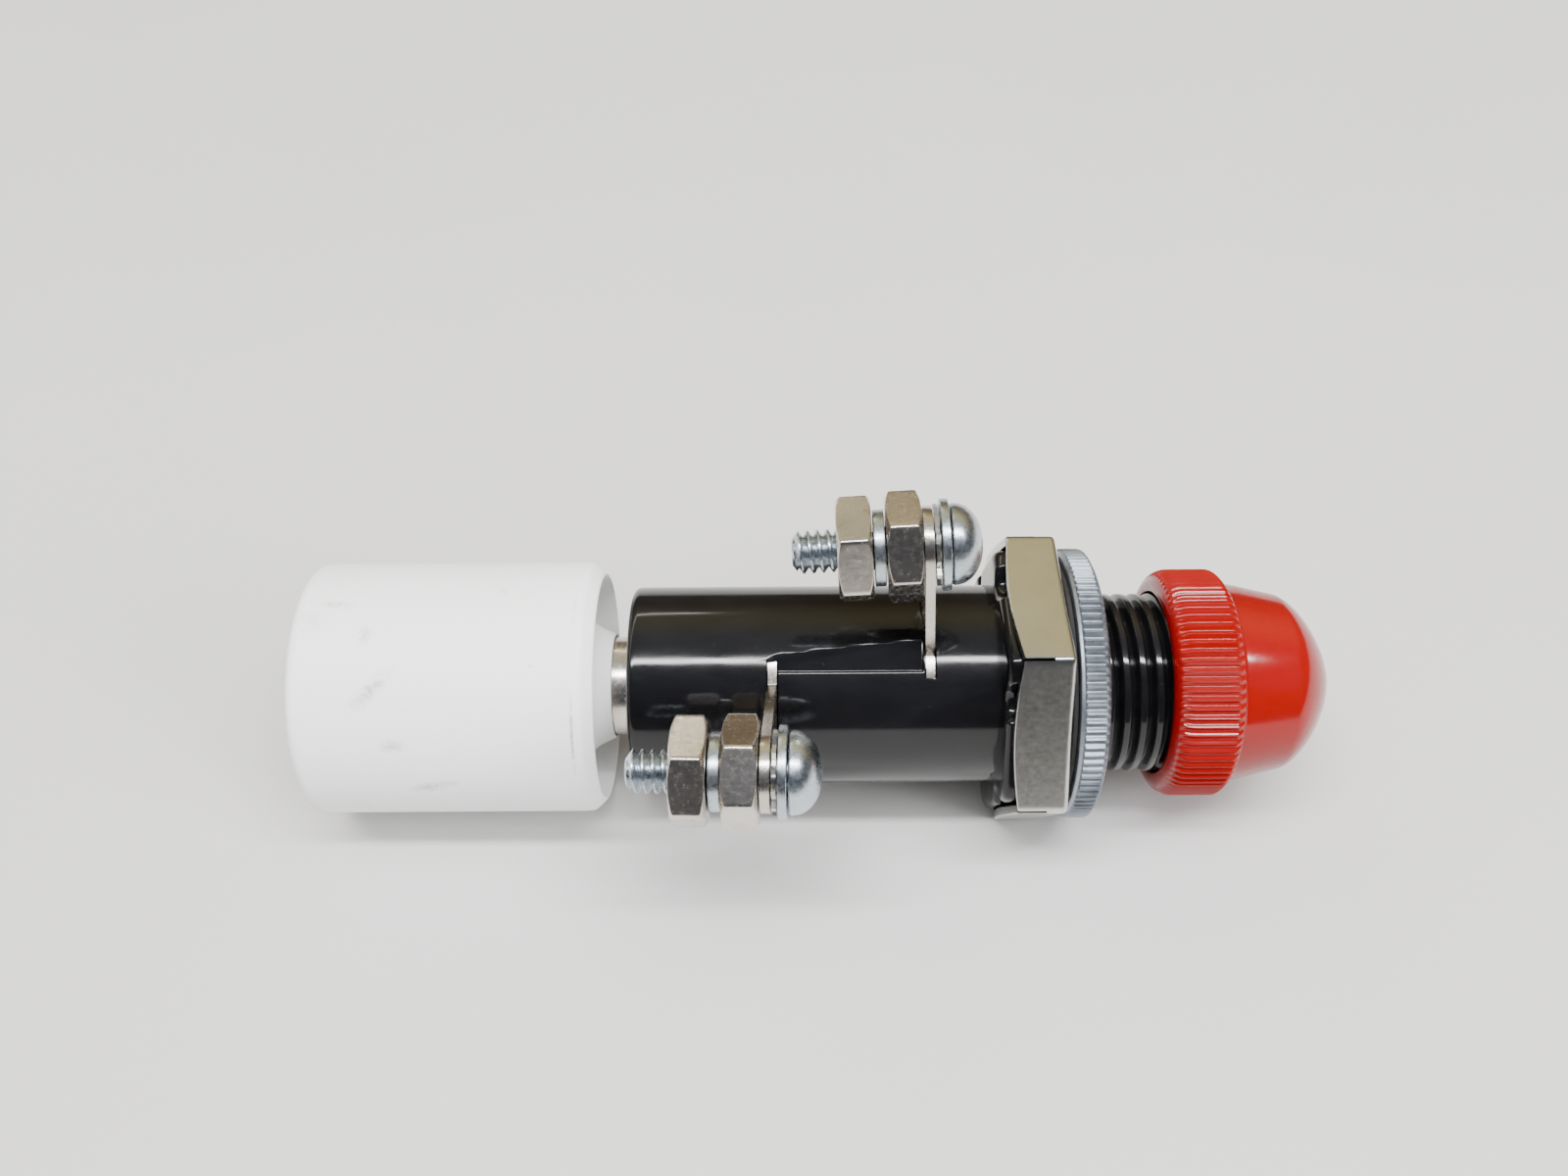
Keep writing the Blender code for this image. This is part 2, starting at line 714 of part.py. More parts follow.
def make_split_washer(name, place, x):
    washer = make_washer(name, place, x, SPLIT_D, SPLIT_T, "zinc_bright")
    tilt = Matrix.Translation((x * MM + SPLIT_T * MM / 2, 0, 0)) @ Matrix.Rotation(0.5, 4, "Z")
    turn = Matrix.Rotation(math.radians(25), 4, "X")
    slit = box(f"cut_{name}", (-2.0, 0.6, -0.15), (2.0, SPLIT_D, 0.15), place @ turn @ tilt)
    boolean(washer, slit)


def make_tooth_washer(name, place, x):
    teeth = 12
    outline = []
    for i in range(teeth * 4):
        radius = TOOTH_D / 2 if i % 4 in (0, 1) else TOOTH_D / 2 - 0.6
        turn = math.tau * i / (teeth * 4)
        outline.append((radius * math.cos(turn), radius * math.sin(turn)))
    middle = Matrix.Translation((x * MM + TOOTH_T * MM / 2, 0, 0))
    turn = facing(90, 0).to_3x3().to_4x4()
    hole = circle(SCREW_D / 2 + POCKET_GAP)
    sheet(name, [outline, hole], TOOTH_T, "steel_plated", place @ middle @ turn)


def make_terminal(prefix, degrees, strip_x):
    """Strip, screw, washers and nuts of one terminal; the screw runs along X."""
    lean = TERMINAL_LEAN[prefix]
    make_strip(f"{prefix}_terminal_strip", degrees, strip_x, lean)
    place = leaned(degrees, strip_x + STRIP_T / 2, lean)
    tooth_x = strip_x + STRIP_T + SEAT_GAP
    flat_x = tooth_x + TOOTH_T + SEAT_GAP
    head_x = flat_x + FLAT_T + SEAT_GAP
    inner_x = strip_x - SEAT_GAP - NUT_T
    split_x = inner_x - SEAT_GAP - SPLIT_T
    outer_x = split_x - SEAT_GAP - NUT_T
    make_tooth_washer(f"{prefix}_tooth_washer", place, tooth_x)
    make_washer(f"{prefix}_flat_washer", place, flat_x, FLAT_D, FLAT_T, "zinc_bright")
    make_screw(f"{prefix}_terminal_screw", place, head_x)
    make_nut(f"{prefix}_inner_nut", place, inner_x, INNER_NUT_TURN[prefix])
    make_split_washer(f"{prefix}_split_washer", place, split_x)
    make_nut(f"{prefix}_outer_nut", place, outer_x, OUTER_NUT_TURN[prefix])


def housing_front():
    """The dished front face, from the hub around the tube out to the chamfered rim."""
    hole = TUBE_D / 2 + POCKET_GAP
    outer = HOUSING_D / 2
    drops = [(0.02, 0.0), (0.08, 1.0), (0.2, 2.1), (0.36, 2.9), (0.54, 3.2), (0.65, 2.9)]
    dish = [(HUB_TIP_X - drop, hole + (outer - hole) * share) for share, drop in drops]
    return dish + [
        (HOUSING_FRONT_X - 0.5, outer - 1.45),
        (HOUSING_FRONT_X, outer - 1.15),
        (HOUSING_FRONT_X - 0.15, outer - 0.9),
        (HOUSING_FRONT_X - 1.0, outer - 0.12),
        (HOUSING_FRONT_X - 1.3, outer),
    ]


def make_housing():
    outer = HOUSING_D / 2
    cavity = CAVITY_D / 2
    hole = TUBE_D / 2 + POCKET_GAP
    rear = [
        (HOUSING_REAR_X + 1.3, outer),
        (HOUSING_REAR_X + 0.4, outer - 0.4),
        (HOUSING_REAR_X, outer - 1.3),
        (HOUSING_REAR_X, cavity),
        (CAVITY_FRONT_X, cavity),
        (CAVITY_FRONT_X, hole),
        (HUB_TIP_X, hole),
    ]
    lathe("resistor_housing", housing_front() + rear, "porcelain_white")


def make_tube():
    """A hollow rivet that clamps the housing's front wall to the barrel's rear wall."""
    outer = TUBE_D / 2
    inner = outer - TUBE_WALL
    front = LAMP_BORE_REAR_X + SEAT_GAP
    rear = CAVITY_FRONT_X - SEAT_GAP
    lip = LIP_D / 2
    profile = [
        (front + TUBE_LIP_T, lip),
        (front, lip),
        (front, outer),
        (rear, outer),
        (rear, lip),
        (rear - TUBE_LIP_T, lip),
        (rear - TUBE_LIP_T, inner),
        (front + TUBE_LIP_T, inner),
    ]
    lathe("hollow_rivet", profile, "nickel_plated")


def make_plug():
    outer = CAVITY_D / 2 - POCKET_GAP
    rear = HOUSING_REAR_X + 0.3
    profile = [(rear + PLUG_T, 0.0), (rear + PLUG_T, outer), (rear, outer), (rear, 0.0)]
    lathe("cement_plug", profile, "cement_grey")


def make_resistor():
    core = CORE_D / 2
    bore = core - CORE_WALL
    ends = (CORE_FRONT_X, CORE_REAR_X)
    profile = [(ends[0], core), (ends[1], core), (ends[1], bore), (ends[0], bore)]
    lathe("resistor_core", profile, "porcelain_white", SMALL_ROUND)
    band_in = core + 0.06
    band_out = band_in + FERRULE_T
    for name, x in (("front", CORE_FRONT_X), ("rear", CORE_REAR_X + FERRULE_L)):
        rear = x - FERRULE_L
        band = [(x, band_out), (rear, band_out), (rear, band_in), (x, band_in)]
        lathe(f"resistor_{name}_band", band, "nickel_plated", SMALL_ROUND)
    start = CORE_FRONT_X - FERRULE_L - 0.5
    length = CORE_FRONT_X - CORE_REAR_X - 2 * FERRULE_L - 1.0
    radius = core + COIL_WIRE_D / 2 + 0.12
    count = COIL_TURNS * 12
    points = []
    for i in range(count + 1):
        turn = math.tau * COIL_TURNS * i / count
        x = start - length * i / count
        points.append((x, radius * math.cos(turn), radius * math.sin(turn)))
    wire("resistor_winding", points, COIL_WIRE_D, "resistance_wire")


def make_leads():
    near = LEAD_D / 2 + SEAT_GAP
    feed = -(LAMP_BORE_D / 2) + 0.9
    wire(
        "resistor_feed_lead",
        [
            (REAR_STRIP_X + 0.1, 0, feed),
            (REAR_STRIP_X - 0.7, 0, feed + 0.3),
            (DISC_REAR_X + DISC_T + 0.5, 0, -3.05),
            (CORE_FRONT_X + 2.2, 0, -2.9),
            (CORE_FRONT_X + 0.9, 0, -3.3),
            (CORE_FRONT_X + near, 0, -CORE_D / 2 - 0.1),
        ],
        LEAD_D,
        "brass",
    )
    out = radial(REAR_STRIP_DEG)
    joint = out * (LAMP_BORE_D / 2 - 0.6)
    inner = out * 2.6
    wire(
        "resistor_return_lead",
        [
            (REAR_STRIP_X - near, joint.y, joint.z),
            (DISC_REAR_X + DISC_T + 0.35, inner.y, inner.z),
            (DISC_REAR_X - 1.5, inner.y, inner.z),
            (DISC_REAR_X - 5.0, 0, 0.6),
            (CORE_REAR_X - 0.3, 0, 0.0),
            (CORE_REAR_X - 0.9, 0, 0.7),
            (CORE_REAR_X - 0.9, 0, 3.4),
            (CORE_REAR_X - near, 0, CORE_D / 2),
        ],
        LEAD_D,
        "brass",
    )


def make_insulating_disc():
    frame = facing(90, DISC_REAR_X + DISC_T / 2)
    out = radial(REAR_STRIP_DEG) * 2.6
    holes = [circle(0.6, 12, (0.0, -3.05)), circle(0.65, 12, (out.y, out.z))]
    outline = circle(LAMP_BORE_D / 2 - POCKET_GAP, ROUND)
    sheet("insulating_disc", [outline] + holes, DISC_T, "fibre_tan", frame)


def make_spring(name, sign, front, rear):
    """A bowed leaf that presses on a lamp plate; sign +1 is above the lamp."""
    high = LAMP_BORE_D / 2 - 0.75
    low = PLATE_OUT + SPRING_GAP
    middle = (front + rear) / 2
    line = [(front, low + 0.5), (front - 1.4, low + 0.1), (middle + 2.4, low), (middle, low)]
    line += [(middle - 3.0, high), (rear, high)]
    outline = [(x, z) for x, z in line] + [(x, z + SPRING_T) for x, z in reversed(line)]
    outline = [(x, sign * z) for x, z in outline]
    frame = Matrix.Rotation(math.pi / 2, 4, "X")
    sheet(name, [outline], SPRING_W, "brass", frame)


def make_lamp():
    glass = LAMP_D / 2
    inside = glass - LAMP_GLASS_T
    rear = LAMP_BLOCK_FRONT_X + 0.15
    tip = LAMP_TIP_X
    profile = [
        (tip, 0.0),
        (tip - 0.35, glass * 0.45),
        (tip - 1.3, glass * 0.8),
        (tip - 2.8, glass),
        (rear, glass),
        (rear, inside),
        (tip - 3.0, inside),
        (tip - 1.7, inside * 0.72),
        (tip - LAMP_GLASS_T, 0.0),
    ]
    lathe("lamp_bulb", profile, "glass_clear", SMALL_ROUND)
    block = glass - 0.1
    profile = [
        (LAMP_BLOCK_FRONT_X, 0.0),
        (LAMP_BLOCK_FRONT_X, block),
        (LAMP_REAR_X + 0.8, block),
        (LAMP_REAR_X, block - 0.8),
        (LAMP_REAR_X, 0.0),
    ]
    lathe("lamp_base_block", profile, "phenolic_black", SMALL_ROUND)
    for name, sign in (("upper", 1), ("lower", -1)):
        low = glass + PLATE_GAP
        ends = sorted((sign * low, sign * (low + PLATE_T)))
        corner = (PLATE_REAR_X, -PLATE_W / 2, ends[0])
        other = (PLATE_FRONT_X, PLATE_W / 2, ends[1])
        box(f"lamp_{name}_contact", corner, other, None, "nickel_plated", False)
        side = sign * POST_GAP / 2
        ends = [(LAMP_BLOCK_FRONT_X + 0.15, side, 0), (POST_FRONT_X, side, 0)]
        wire(f"lamp_{name}_post", ends, POST_D, "nickel_plated")
    frame = facing(90, BEAD_X)
    holes = [circle(POST_D / 2 + 0.08, 12, (s * POST_GAP / 2, 0)) for s in (1, -1)]
    outline = circle(POST_GAP / 2 + 0.7, SMALL_ROUND)
    sheet("lamp_bead", [outline] + holes, 1.2, "glass_clear", frame)
    count = 7 * 6
    reach = POST_GAP / 2 - POST_D / 2 - 0.1
    points = []
    for i in range(count + 1):
        turn = math.tau * 7 * i / count
        y = -reach + 2 * reach * i / count
        points.append((POST_FRONT_X - 0.5 + 0.3 * math.cos(turn), y, 0.3 * math.sin(turn)))
    wire("lamp_filament", points, 0.1, "tungsten")


make_moulding()
make_hex_shell()
make_gasket()
make_ring()
make_cap()
make_cap_seal()
make_terminal("front", FRONT_STRIP_DEG, FRONT_STRIP_X)
make_terminal("rear", REAR_STRIP_DEG, REAR_STRIP_X)
make_housing()
make_tube()
make_plug()
make_resistor()
make_leads()
make_insulating_disc()
make_spring("front_contact_spring", 1, PLATE_FRONT_X + 0.6, -20.5)
make_spring("rear_contact_spring", -1, PLATE_FRONT_X + 0.6, REAR_STRIP_X + 0.6)
make_lamp()
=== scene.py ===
"""Looks for the panel indicating light: fine geometry, procedural materials, light and camera."""

import json
import math

import bmesh
import bpy
from mathutils import Matrix, Vector


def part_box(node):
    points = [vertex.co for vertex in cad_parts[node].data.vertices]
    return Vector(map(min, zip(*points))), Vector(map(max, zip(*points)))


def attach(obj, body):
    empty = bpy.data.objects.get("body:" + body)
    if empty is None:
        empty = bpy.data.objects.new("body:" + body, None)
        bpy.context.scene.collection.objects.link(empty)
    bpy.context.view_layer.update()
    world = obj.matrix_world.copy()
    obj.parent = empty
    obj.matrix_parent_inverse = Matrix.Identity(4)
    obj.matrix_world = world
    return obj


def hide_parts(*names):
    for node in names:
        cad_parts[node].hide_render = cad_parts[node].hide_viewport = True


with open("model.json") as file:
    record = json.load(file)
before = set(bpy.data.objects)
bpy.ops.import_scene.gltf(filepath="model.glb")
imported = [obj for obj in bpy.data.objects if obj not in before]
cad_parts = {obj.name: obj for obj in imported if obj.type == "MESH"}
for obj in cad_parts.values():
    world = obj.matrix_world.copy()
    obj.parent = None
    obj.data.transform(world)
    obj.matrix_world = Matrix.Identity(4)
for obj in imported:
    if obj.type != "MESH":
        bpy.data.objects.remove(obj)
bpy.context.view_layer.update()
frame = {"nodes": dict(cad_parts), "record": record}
MM = 0.001
NODES = frame["nodes"]

# Standard sizes, in millimetres: a 5/8-18 bush and number 6-32 terminal hardware.
BUSH_D = 15.875
BUSH_PITCH = 1.411
SCREW_LENGTH = 12.7
SCREW_PITCH = 0.794
NUT_ACROSS = 7.94
WASHER_BORE = 1.9
STRIP_THICKNESS = 0.8
BORE_R = 5.2
BARREL_R = 8.8
PANEL_HOLE_R = 8.14
# A strip's hole, and the height at which it bends back, from the barrel's axis.
TERMINAL_R = 18.0
BEND_R = 8.0

# ------------------------------------------------------------------ sizes read from the frame


def span(node):
    """Lowest and highest corner of a CAD node, in millimetres."""
    low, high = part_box(node)
    return [v / MM for v in low], [v / MM for v in high]


def screw_frame(prefix):
    """Local X along a terminal's screw towards its head, from the middle of its strip."""
    joints = frame["record"]["behaviour"]["joints"]
    joint = next(j for j in joints if j["name"] == f"{prefix}_nut_turn")
    along = -Vector(joint["axis"]).normalized()
    turn = Vector((1, 0, 0)).rotation_difference(along).to_matrix().to_4x4()
    return Matrix.Translation(joint["pos_m"]) @ turn


def span_along(node, place):
    """Lowest and highest place along local X, and the largest radius, in millimetres."""
    back = place.inverted()
    points = [back @ vert.co for vert in NODES[node].data.vertices]
    along = [point.x / MM for point in points]
    return min(along), max(along), max(math.hypot(point.y, point.z) / MM for point in points)


def radius_of(node):
    low, high = span(node)
    return (high[2] - low[2]) / 2


# ------------------------------------------------------------------ materials


def colour_ramp(tree, source, stops):
    """A ramp node; stops are (place, colour), where a plain number is a grey."""
    node = tree.nodes.new("ShaderNodeValToRGB")
    stops = [(at, c if isinstance(c, tuple) else (c, c, c, 1)) for at, c in stops]
    first, last = node.color_ramp.elements
    first.position, first.color = stops[0]
    last.position, last.color = stops[-1]
    for at, colour in stops[1:-1]:
        node.color_ramp.elements.new(at).color = colour
    tree.links.new(source, node.inputs["Fac"])
    return node.outputs["Color"]


class Look:
    """A small builder of node materials."""

    def __init__(self, name):
        self.material = bpy.data.materials.new(name)
        self.material.use_nodes = True
        self.tree = self.material.node_tree
        self.shader = self.tree.nodes["Principled BSDF"]
        self.coord = self.tree.nodes.new("ShaderNodeTexCoord").outputs["Object"]
        self.normal = None

    def set(self, **values):
        names = {
            "metal": "Metallic",
            "rough": "Roughness",
            "sss": "Subsurface Weight",
            "sss_radius": "Subsurface Radius",
            "sss_scale": "Subsurface Scale",
            "trans": "Transmission Weight",
            "ior": "IOR",
            "spec": "Specular IOR Level",
        }
        for key, value in values.items():
            self.shader.inputs[names[key]].default_value = value
        return self

    def link(self, a, b):
        self.tree.links.new(a, b)

    def mapped(self, scale=(1, 1, 1), turn=(0, 0, 0)):
        node = self.tree.nodes.new("ShaderNodeMapping")
        node.inputs["Scale"].default_value = scale
        node.inputs["Rotation"].default_value = turn
        self.link(self.coord, node.inputs["Vector"])
        return node.outputs["Vector"]

    def noise(self, scale, detail=4.0, rough=0.55, stretch=(1, 1, 1), turn=(0, 0, 0), warp=0.0):
        node = self.tree.nodes.new("ShaderNodeTexNoise")
        node.inputs["Scale"].default_value = scale
        node.inputs["Detail"].default_value = detail
        node.inputs["Roughness"].default_value = rough
        node.inputs["Distortion"].default_value = warp
        self.link(self.mapped(stretch, turn), node.inputs["Vector"])
        return node.outputs["Fac"]

    def blotch(self, centre, size, turn=(0, 0, 0)):
        """1 at a place on the part, falling to 0 at the given half sizes; all in millimetres."""
        shift = self.tree.nodes.new("ShaderNodeVectorMath")
        shift.operation = "SUBTRACT"
        shift.inputs[1].default_value = [v * MM for v in centre]
        self.link(self.coord, shift.inputs[0])
        spin = self.tree.nodes.new("ShaderNodeMapping")
        spin.inputs["Rotation"].default_value = turn
        self.link(shift.outputs[0], spin.inputs["Vector"])
        shrink = self.tree.nodes.new("ShaderNodeVectorMath")
        shrink.operation = "DIVIDE"
        shrink.inputs[1].default_value = [v * MM for v in size]
        self.link(spin.outputs["Vector"], shrink.inputs[0])
        length = self.tree.nodes.new("ShaderNodeVectorMath")
        length.operation = "LENGTH"
        self.link(shrink.outputs[0], length.inputs[0])
        return self.ramp(length.outputs["Value"], [(0.0, 1.0), (1.0, 0.0)])

    def ramp(self, source, stops):
        return colour_ramp(self.tree, source, stops)

    def mix(self, a, b, share, blend="MIX"):
        node = self.tree.nodes.new("ShaderNodeMix")
        node.data_type = "RGBA"
        node.blend_type = blend
        for value, socket in ((a, node.inputs[6]), (b, node.inputs[7]), (share, node.inputs[0])):
            if isinstance(value, (float, tuple)):
                socket.default_value = value
            else:
                self.link(value, socket)
        return node.outputs[2]

    def to(self, source, socket):
        self.link(source, self.shader.inputs[socket])
        return self

    def bump(self, height, strength, distance):
        node = self.tree.nodes.new("ShaderNodeBump")
        node.inputs["Strength"].default_value = strength
        node.inputs["Distance"].default_value = distance
        self.link(height, node.inputs["Height"])
        if self.normal is not None:
            self.link(self.normal, node.inputs["Normal"])
        self.normal = node.outputs["Normal"]
        self.link(self.normal, self.shader.inputs["Normal"])
        return self


def rgb(r, g, b):
    """Linear colour from 0-255 display values."""
    values = []
    for c in (r, g, b):
        c /= 255
        values.append(c / 12.92 if c <= 0.04045 else ((c + 0.055) / 1.055) ** 2.4)
    return (*values, 1.0)


def plated(name, tint, low, high, grain=1.0, stain=None, metal=1.0, mottle=0.82):
    """Plated metal with fine grain, uneven roughness and faint stains."""
    look = Look(name).set(metal=metal, rough=(low + high) / 2)
    broad = look.noise(260, 3)
    fine = look.noise(2600, 4, 0.6)
    dark = tuple(c * mottle for c in tint[:3]) + (1,)
    base = look.mix(dark, tint, look.ramp(broad, [(0.34, 0.0), (0.62, 1.0)]))
    if stain:
        spots = look.ramp(look.noise(700, 5, 0.7, warp=0.6), [(0.60, 0.0), (0.74, 0.55)])
        base = look.mix(base, stain, spots)
    look.to(base, "Base Color")
    look.to(look.ramp(fine, [(0.3, low), (0.7, high)]), "Roughness")
    scratches = look.noise(900, 2, 0.5, (0.12, 4.0, 1.0), (0.3, 0.1, 0.5))
    look.bump(fine, 0.10 * grain, 0.00004)
    look.bump(scratches, 0.05 * grain, 0.00003)
    return look.material


def phenolic():
    look = Look("phenolic_black_look").set(metal=0.0, rough=0.17, ior=1.5, spec=0.45)
    swirl = look.noise(110, 5, 0.6, (1, 2.2, 2.2), warp=1.2)
    dust = look.ramp(look.noise(2300, 3, 0.7), [(0.68, 0.0), (0.82, 0.12)])
    base = look.mix(rgb(10, 10, 12), rgb(18, 18, 20), look.ramp(swirl, [(0.35, 0.0), (0.7, 1.0)]))
    look.to(look.mix(base, rgb(120, 116, 110), dust), "Base Color")
    rough = look.ramp(look.noise(500, 5, 0.65, (0.3, 1, 1)), [(0.3, 0.07), (0.72, 0.17)])
    look.to(rough, "Roughness")
    look.bump(look.noise(330, 3, 0.5, (1, 1.5, 1.5)), 0.05, 0.0001)
    look.bump(look.noise(1500, 2, 0.5, (5.0, 0.3, 0.3)), 0.035, 0.00003)
    return look.material


# Handling marks on the porcelain: centre and half sizes in millimetres, turn in radians, depth.
MARK_STRENGTH = 1.7
PORCELAIN_MARKS = (
    ((-57.7, -7.1, 8.5), (3.2, 0.5, 0.9), (0.9, 0.75, 0.0), 0.40),
    ((-56.0, -10.0, 4.9), (1.3, 1.2, 0.8), (0, 0, 0), 0.30),
    ((-53.2, -11.1, 0.6), (2.6, 1.0, 0.8), (0, 0.2, 0), 0.34),
    ((-58.3, -2.9, 10.7), (0.8, 1.1, 0.8), (0, 0, 0), 0.26),
    ((-61.4, 0.2, 11.1), (2.6, 0.5, 0.8), (0, 0, 0.1), 0.28),
    ((-62.8, -1.6, 11.0), (1.8, 1.4, 0.8), (0, 0, 0), 0.18),
    ((-47.4, 1.7, 11.0), (0.5, 0.8, 0.5), (0, 0, 0), 0.22),
    ((-44.4, -5.5, 9.7), (0.22, 0.22, 0.22), (0, 0, 0), 0.85),
    ((-41.1, -9.6, 5.6), (0.17, 4.2, 4.6), (0, 0, 0), 0.55),
    ((-41.1, -0.5, 11.1), (0.14, 3.6, 0.8), (0, 0, 0), 0.18),
)


def porcelain():
    look = Look("porcelain_look").set(metal=0.0, rough=0.5, spec=0.4, sss=0.1)
    look.set(sss_radius=(1.0, 0.96, 0.92), sss_scale=0.0008)
    cloud = look.noise(95, 4, 0.5)
    base = look.mix(rgb(252, 252, 251), rgb(247, 248, 249), cloud)
    grain = look.noise(900, 5, 0.75, (1, 1, 1), (0.4, 0.2, 0.3), 1.2)
    grit = look.ramp(grain, [(0.38, 0.0), (0.60, 1.0)])
    nothing = (0.0, 0.0, 0.0, 1.0)
    for centre, size, turn, depth in PORCELAIN_MARKS:
        spot = look.mix(nothing, grit, look.blotch(centre, size, turn))
        share = look.mix(nothing, spot, min(depth * MARK_STRENGTH, 1.0))
        base = look.mix(base, rgb(120, 106, 88), share)
    drift = look.noise(130, 5, 0.7, (1.5, 0.6, 0.9), (0.4, 0.2, 0.3), 1.2)
    haze = look.ramp(drift, [(0.58, 0.0), (0.80, 0.14)])
    base = look.mix(base, rgb(190, 184, 174), haze)
    look.to(base, "Base Color")
    look.to(look.ramp(cloud, [(0.3, 0.42), (0.7, 0.56)]), "Roughness")
    look.bump(look.noise(1400, 5, 0.65), 0.10, 0.00006)
    look.bump(look.noise(220, 2), 0.04, 0.0002)
    return look.material


def lens_red():
    look = Look("lens_red_look").set(metal=0.0, rough=0.16, ior=1.49, sss=0.15, spec=0.5)
    look.set(sss_radius=(1.0, 0.10, 0.06), sss_scale=0.0014)
    cloud = look.noise(140, 3, 0.5)
    base = look.mix(rgb(138, 7, 6), rgb(125, 5, 4), cloud)
    scuff = look.ramp(look.noise(800, 5, 0.7, (1, 1, 1), warp=1.0), [(0.66, 0.0), (0.8, 0.2)])
    look.to(look.mix(base, rgb(158, 30, 24), scuff), "Base Color")
    look.to(look.ramp(look.noise(600, 4, 0.6), [(0.3, 0.10), (0.75, 0.20)]), "Roughness")
    look.bump(look.noise(450, 2), 0.03, 0.0001)
    look.bump(look.noise(3200, 3), 0.03, 0.00002)
    return look.material


def die_cast():
    look = Look("zinc_dull_look").set(metal=0.92, rough=0.42)
    cloud = look.noise(330, 5, 0.6)
    tone = look.ramp(cloud, [(0.35, 0.0), (0.65, 1.0)])
    base = look.mix(rgb(128, 135, 144), rgb(160, 168, 177), tone)
    pit = look.ramp(look.noise(2400, 4, 0.7), [(0.27, 1.0), (0.36, 0.0)])
    look.to(look.mix(base, rgb(84, 88, 92), pit), "Base Color")
    look.to(look.ramp(cloud, [(0.3, 0.34), (0.7, 0.52)]), "Roughness")
    look.bump(look.noise(1700, 5, 0.7), 0.22, 0.00008)
    return look.material


def soft_black(name):
    look = Look(name).set(metal=0.0, rough=0.75)
    look.to(look.mix(rgb(22, 22, 22), rgb(38, 37, 36), look.noise(420, 4)), "Base Color")
    look.to(look.ramp(look.noise(700, 3), [(0.3, 0.62), (0.7, 0.86)]), "Roughness")
    look.bump(look.noise(2200, 4, 0.6), 0.2, 0.00006)
    return look.material


def rough_mineral(name, a, b, rough):
    look = Look(name).set(metal=0.0, rough=rough)
    look.to(look.mix(a, b, look.noise(380, 6, 0.7)), "Base Color")
    uneven = [(0.3, rough - 0.1), (0.7, min(rough + 0.1, 1.0))]
    look.to(look.ramp(look.noise(900, 4), uneven), "Roughness")
    look.bump(look.noise(1300, 6, 0.75), 0.45, 0.00015)
    return look.material


def fibre(name):
    look = Look(name).set(metal=0.0, rough=0.8)
    strand = look.noise(900, 4, 0.6, (1, 0.2, 3.0))
    look.to(look.mix(rgb(120, 84, 58), rgb(160, 118, 84), strand), "Base Color")
    look.bump(strand, 0.3, 0.00008)
    return look.material


def lamp_glass(name):
    look = Look(name).set(metal=0.0, rough=0.03, trans=1.0, ior=1.5)
    look.to(look.mix(rgb(250, 252, 252), rgb(240, 245, 246), look.noise(200, 2)), "Base Color")
    look.to(look.ramp(look.noise(800, 3), [(0.4, 0.02), (0.8, 0.07)]), "Roughness")
    return look.material


NICKEL = rgb(214, 207, 198)
LOOKS = {
    "phenolic_black": phenolic(),
    "porcelain_white": porcelain(),
    "cement_grey": rough_mineral("cement_look", rgb(196, 190, 178), rgb(224, 220, 210), 0.85),
    "lens_red": lens_red(),
    "zinc_dull": die_cast(),
    "steel_plated": plated("steel_plated_look", rgb(206, 205, 200), 0.17, 0.24, 0.5, None, 1.0, 0.93),
    "nickel_plated": plated("nickel_look", NICKEL, 0.17, 0.30, 1.2, rgb(150, 138, 120)),
    "zinc_bright": plated("zinc_bright_look", rgb(196, 205, 212), 0.22, 0.36, 1.3, rgb(150, 160, 172)),
    "brass": plated("brass_look", rgb(214, 176, 104), 0.18, 0.32, 1.0, rgb(140, 100, 56)),
    "rubber_black": soft_black("rubber_look"),
    "fibre_tan": fibre("fibre_look"),
    "glass_clear": lamp_glass("glass_look"),
    "tungsten": plated("tungsten_look", rgb(140, 140, 142), 0.3, 0.45),
    "resistance_wire": plated(
        "resistance_wire_look", rgb(170, 160, 148), 0.28, 0.42, 1.0, rgb(110, 92, 76)),
}
SLOT_OF = {part["node"]: part["material_slot"] for part in frame["record"]["subparts"]}

for node_name, node in NODES.items():
    node.data.materials.clear()
    node.data.materials.append(LOOKS[SLOT_OF[node_name]])

# ------------------------------------------------------------------ mesh helpers


def finish_mesh(name, bm, slot, angle=32):
    """An object from a bmesh, shaded smooth up to the angle, with its slot's look if it has one."""
    bmesh.ops.recalc_face_normals(bm, faces=bm.faces)
    mesh = bpy.data.meshes.new(name)
    bm.to_mesh(mesh)
    bm.free()
    for face in mesh.polygons:
        face.use_smooth = True
    mesh.set_sharp_from_angle(angle=math.radians(angle))
    obj = bpy.data.objects.new(name, mesh)
    bpy.context.scene.collection.objects.link(obj)
    if slot:
        mesh.materials.append(LOOKS[slot])
    return obj


def rounded(points, size, cuts=3):
    """A profile with each inner corner rounded; points are (x, r) or (x, r, own size)."""
    out = []
    for i, point in enumerate(points):
        here = Vector(point[:2])
        reach = point[2] if len(point) > 2 else size
        if i in (0, len(points) - 1) or reach <= 0:
            out.append(tuple(here))
            continue
        before = Vector(points[i - 1][:2]) - here
        after = Vector(points[i + 1][:2]) - here
        cut = min(reach, before.length * 0.45, after.length * 0.45)
        a = here + before.normalized() * cut
        b = here + after.normalized() * cut
        for k in range(cuts + 1):
            t = k / cuts
            out.append(tuple(a * (1 - t) ** 2 + here * 2 * t * (1 - t) + b * t * t))
    return out


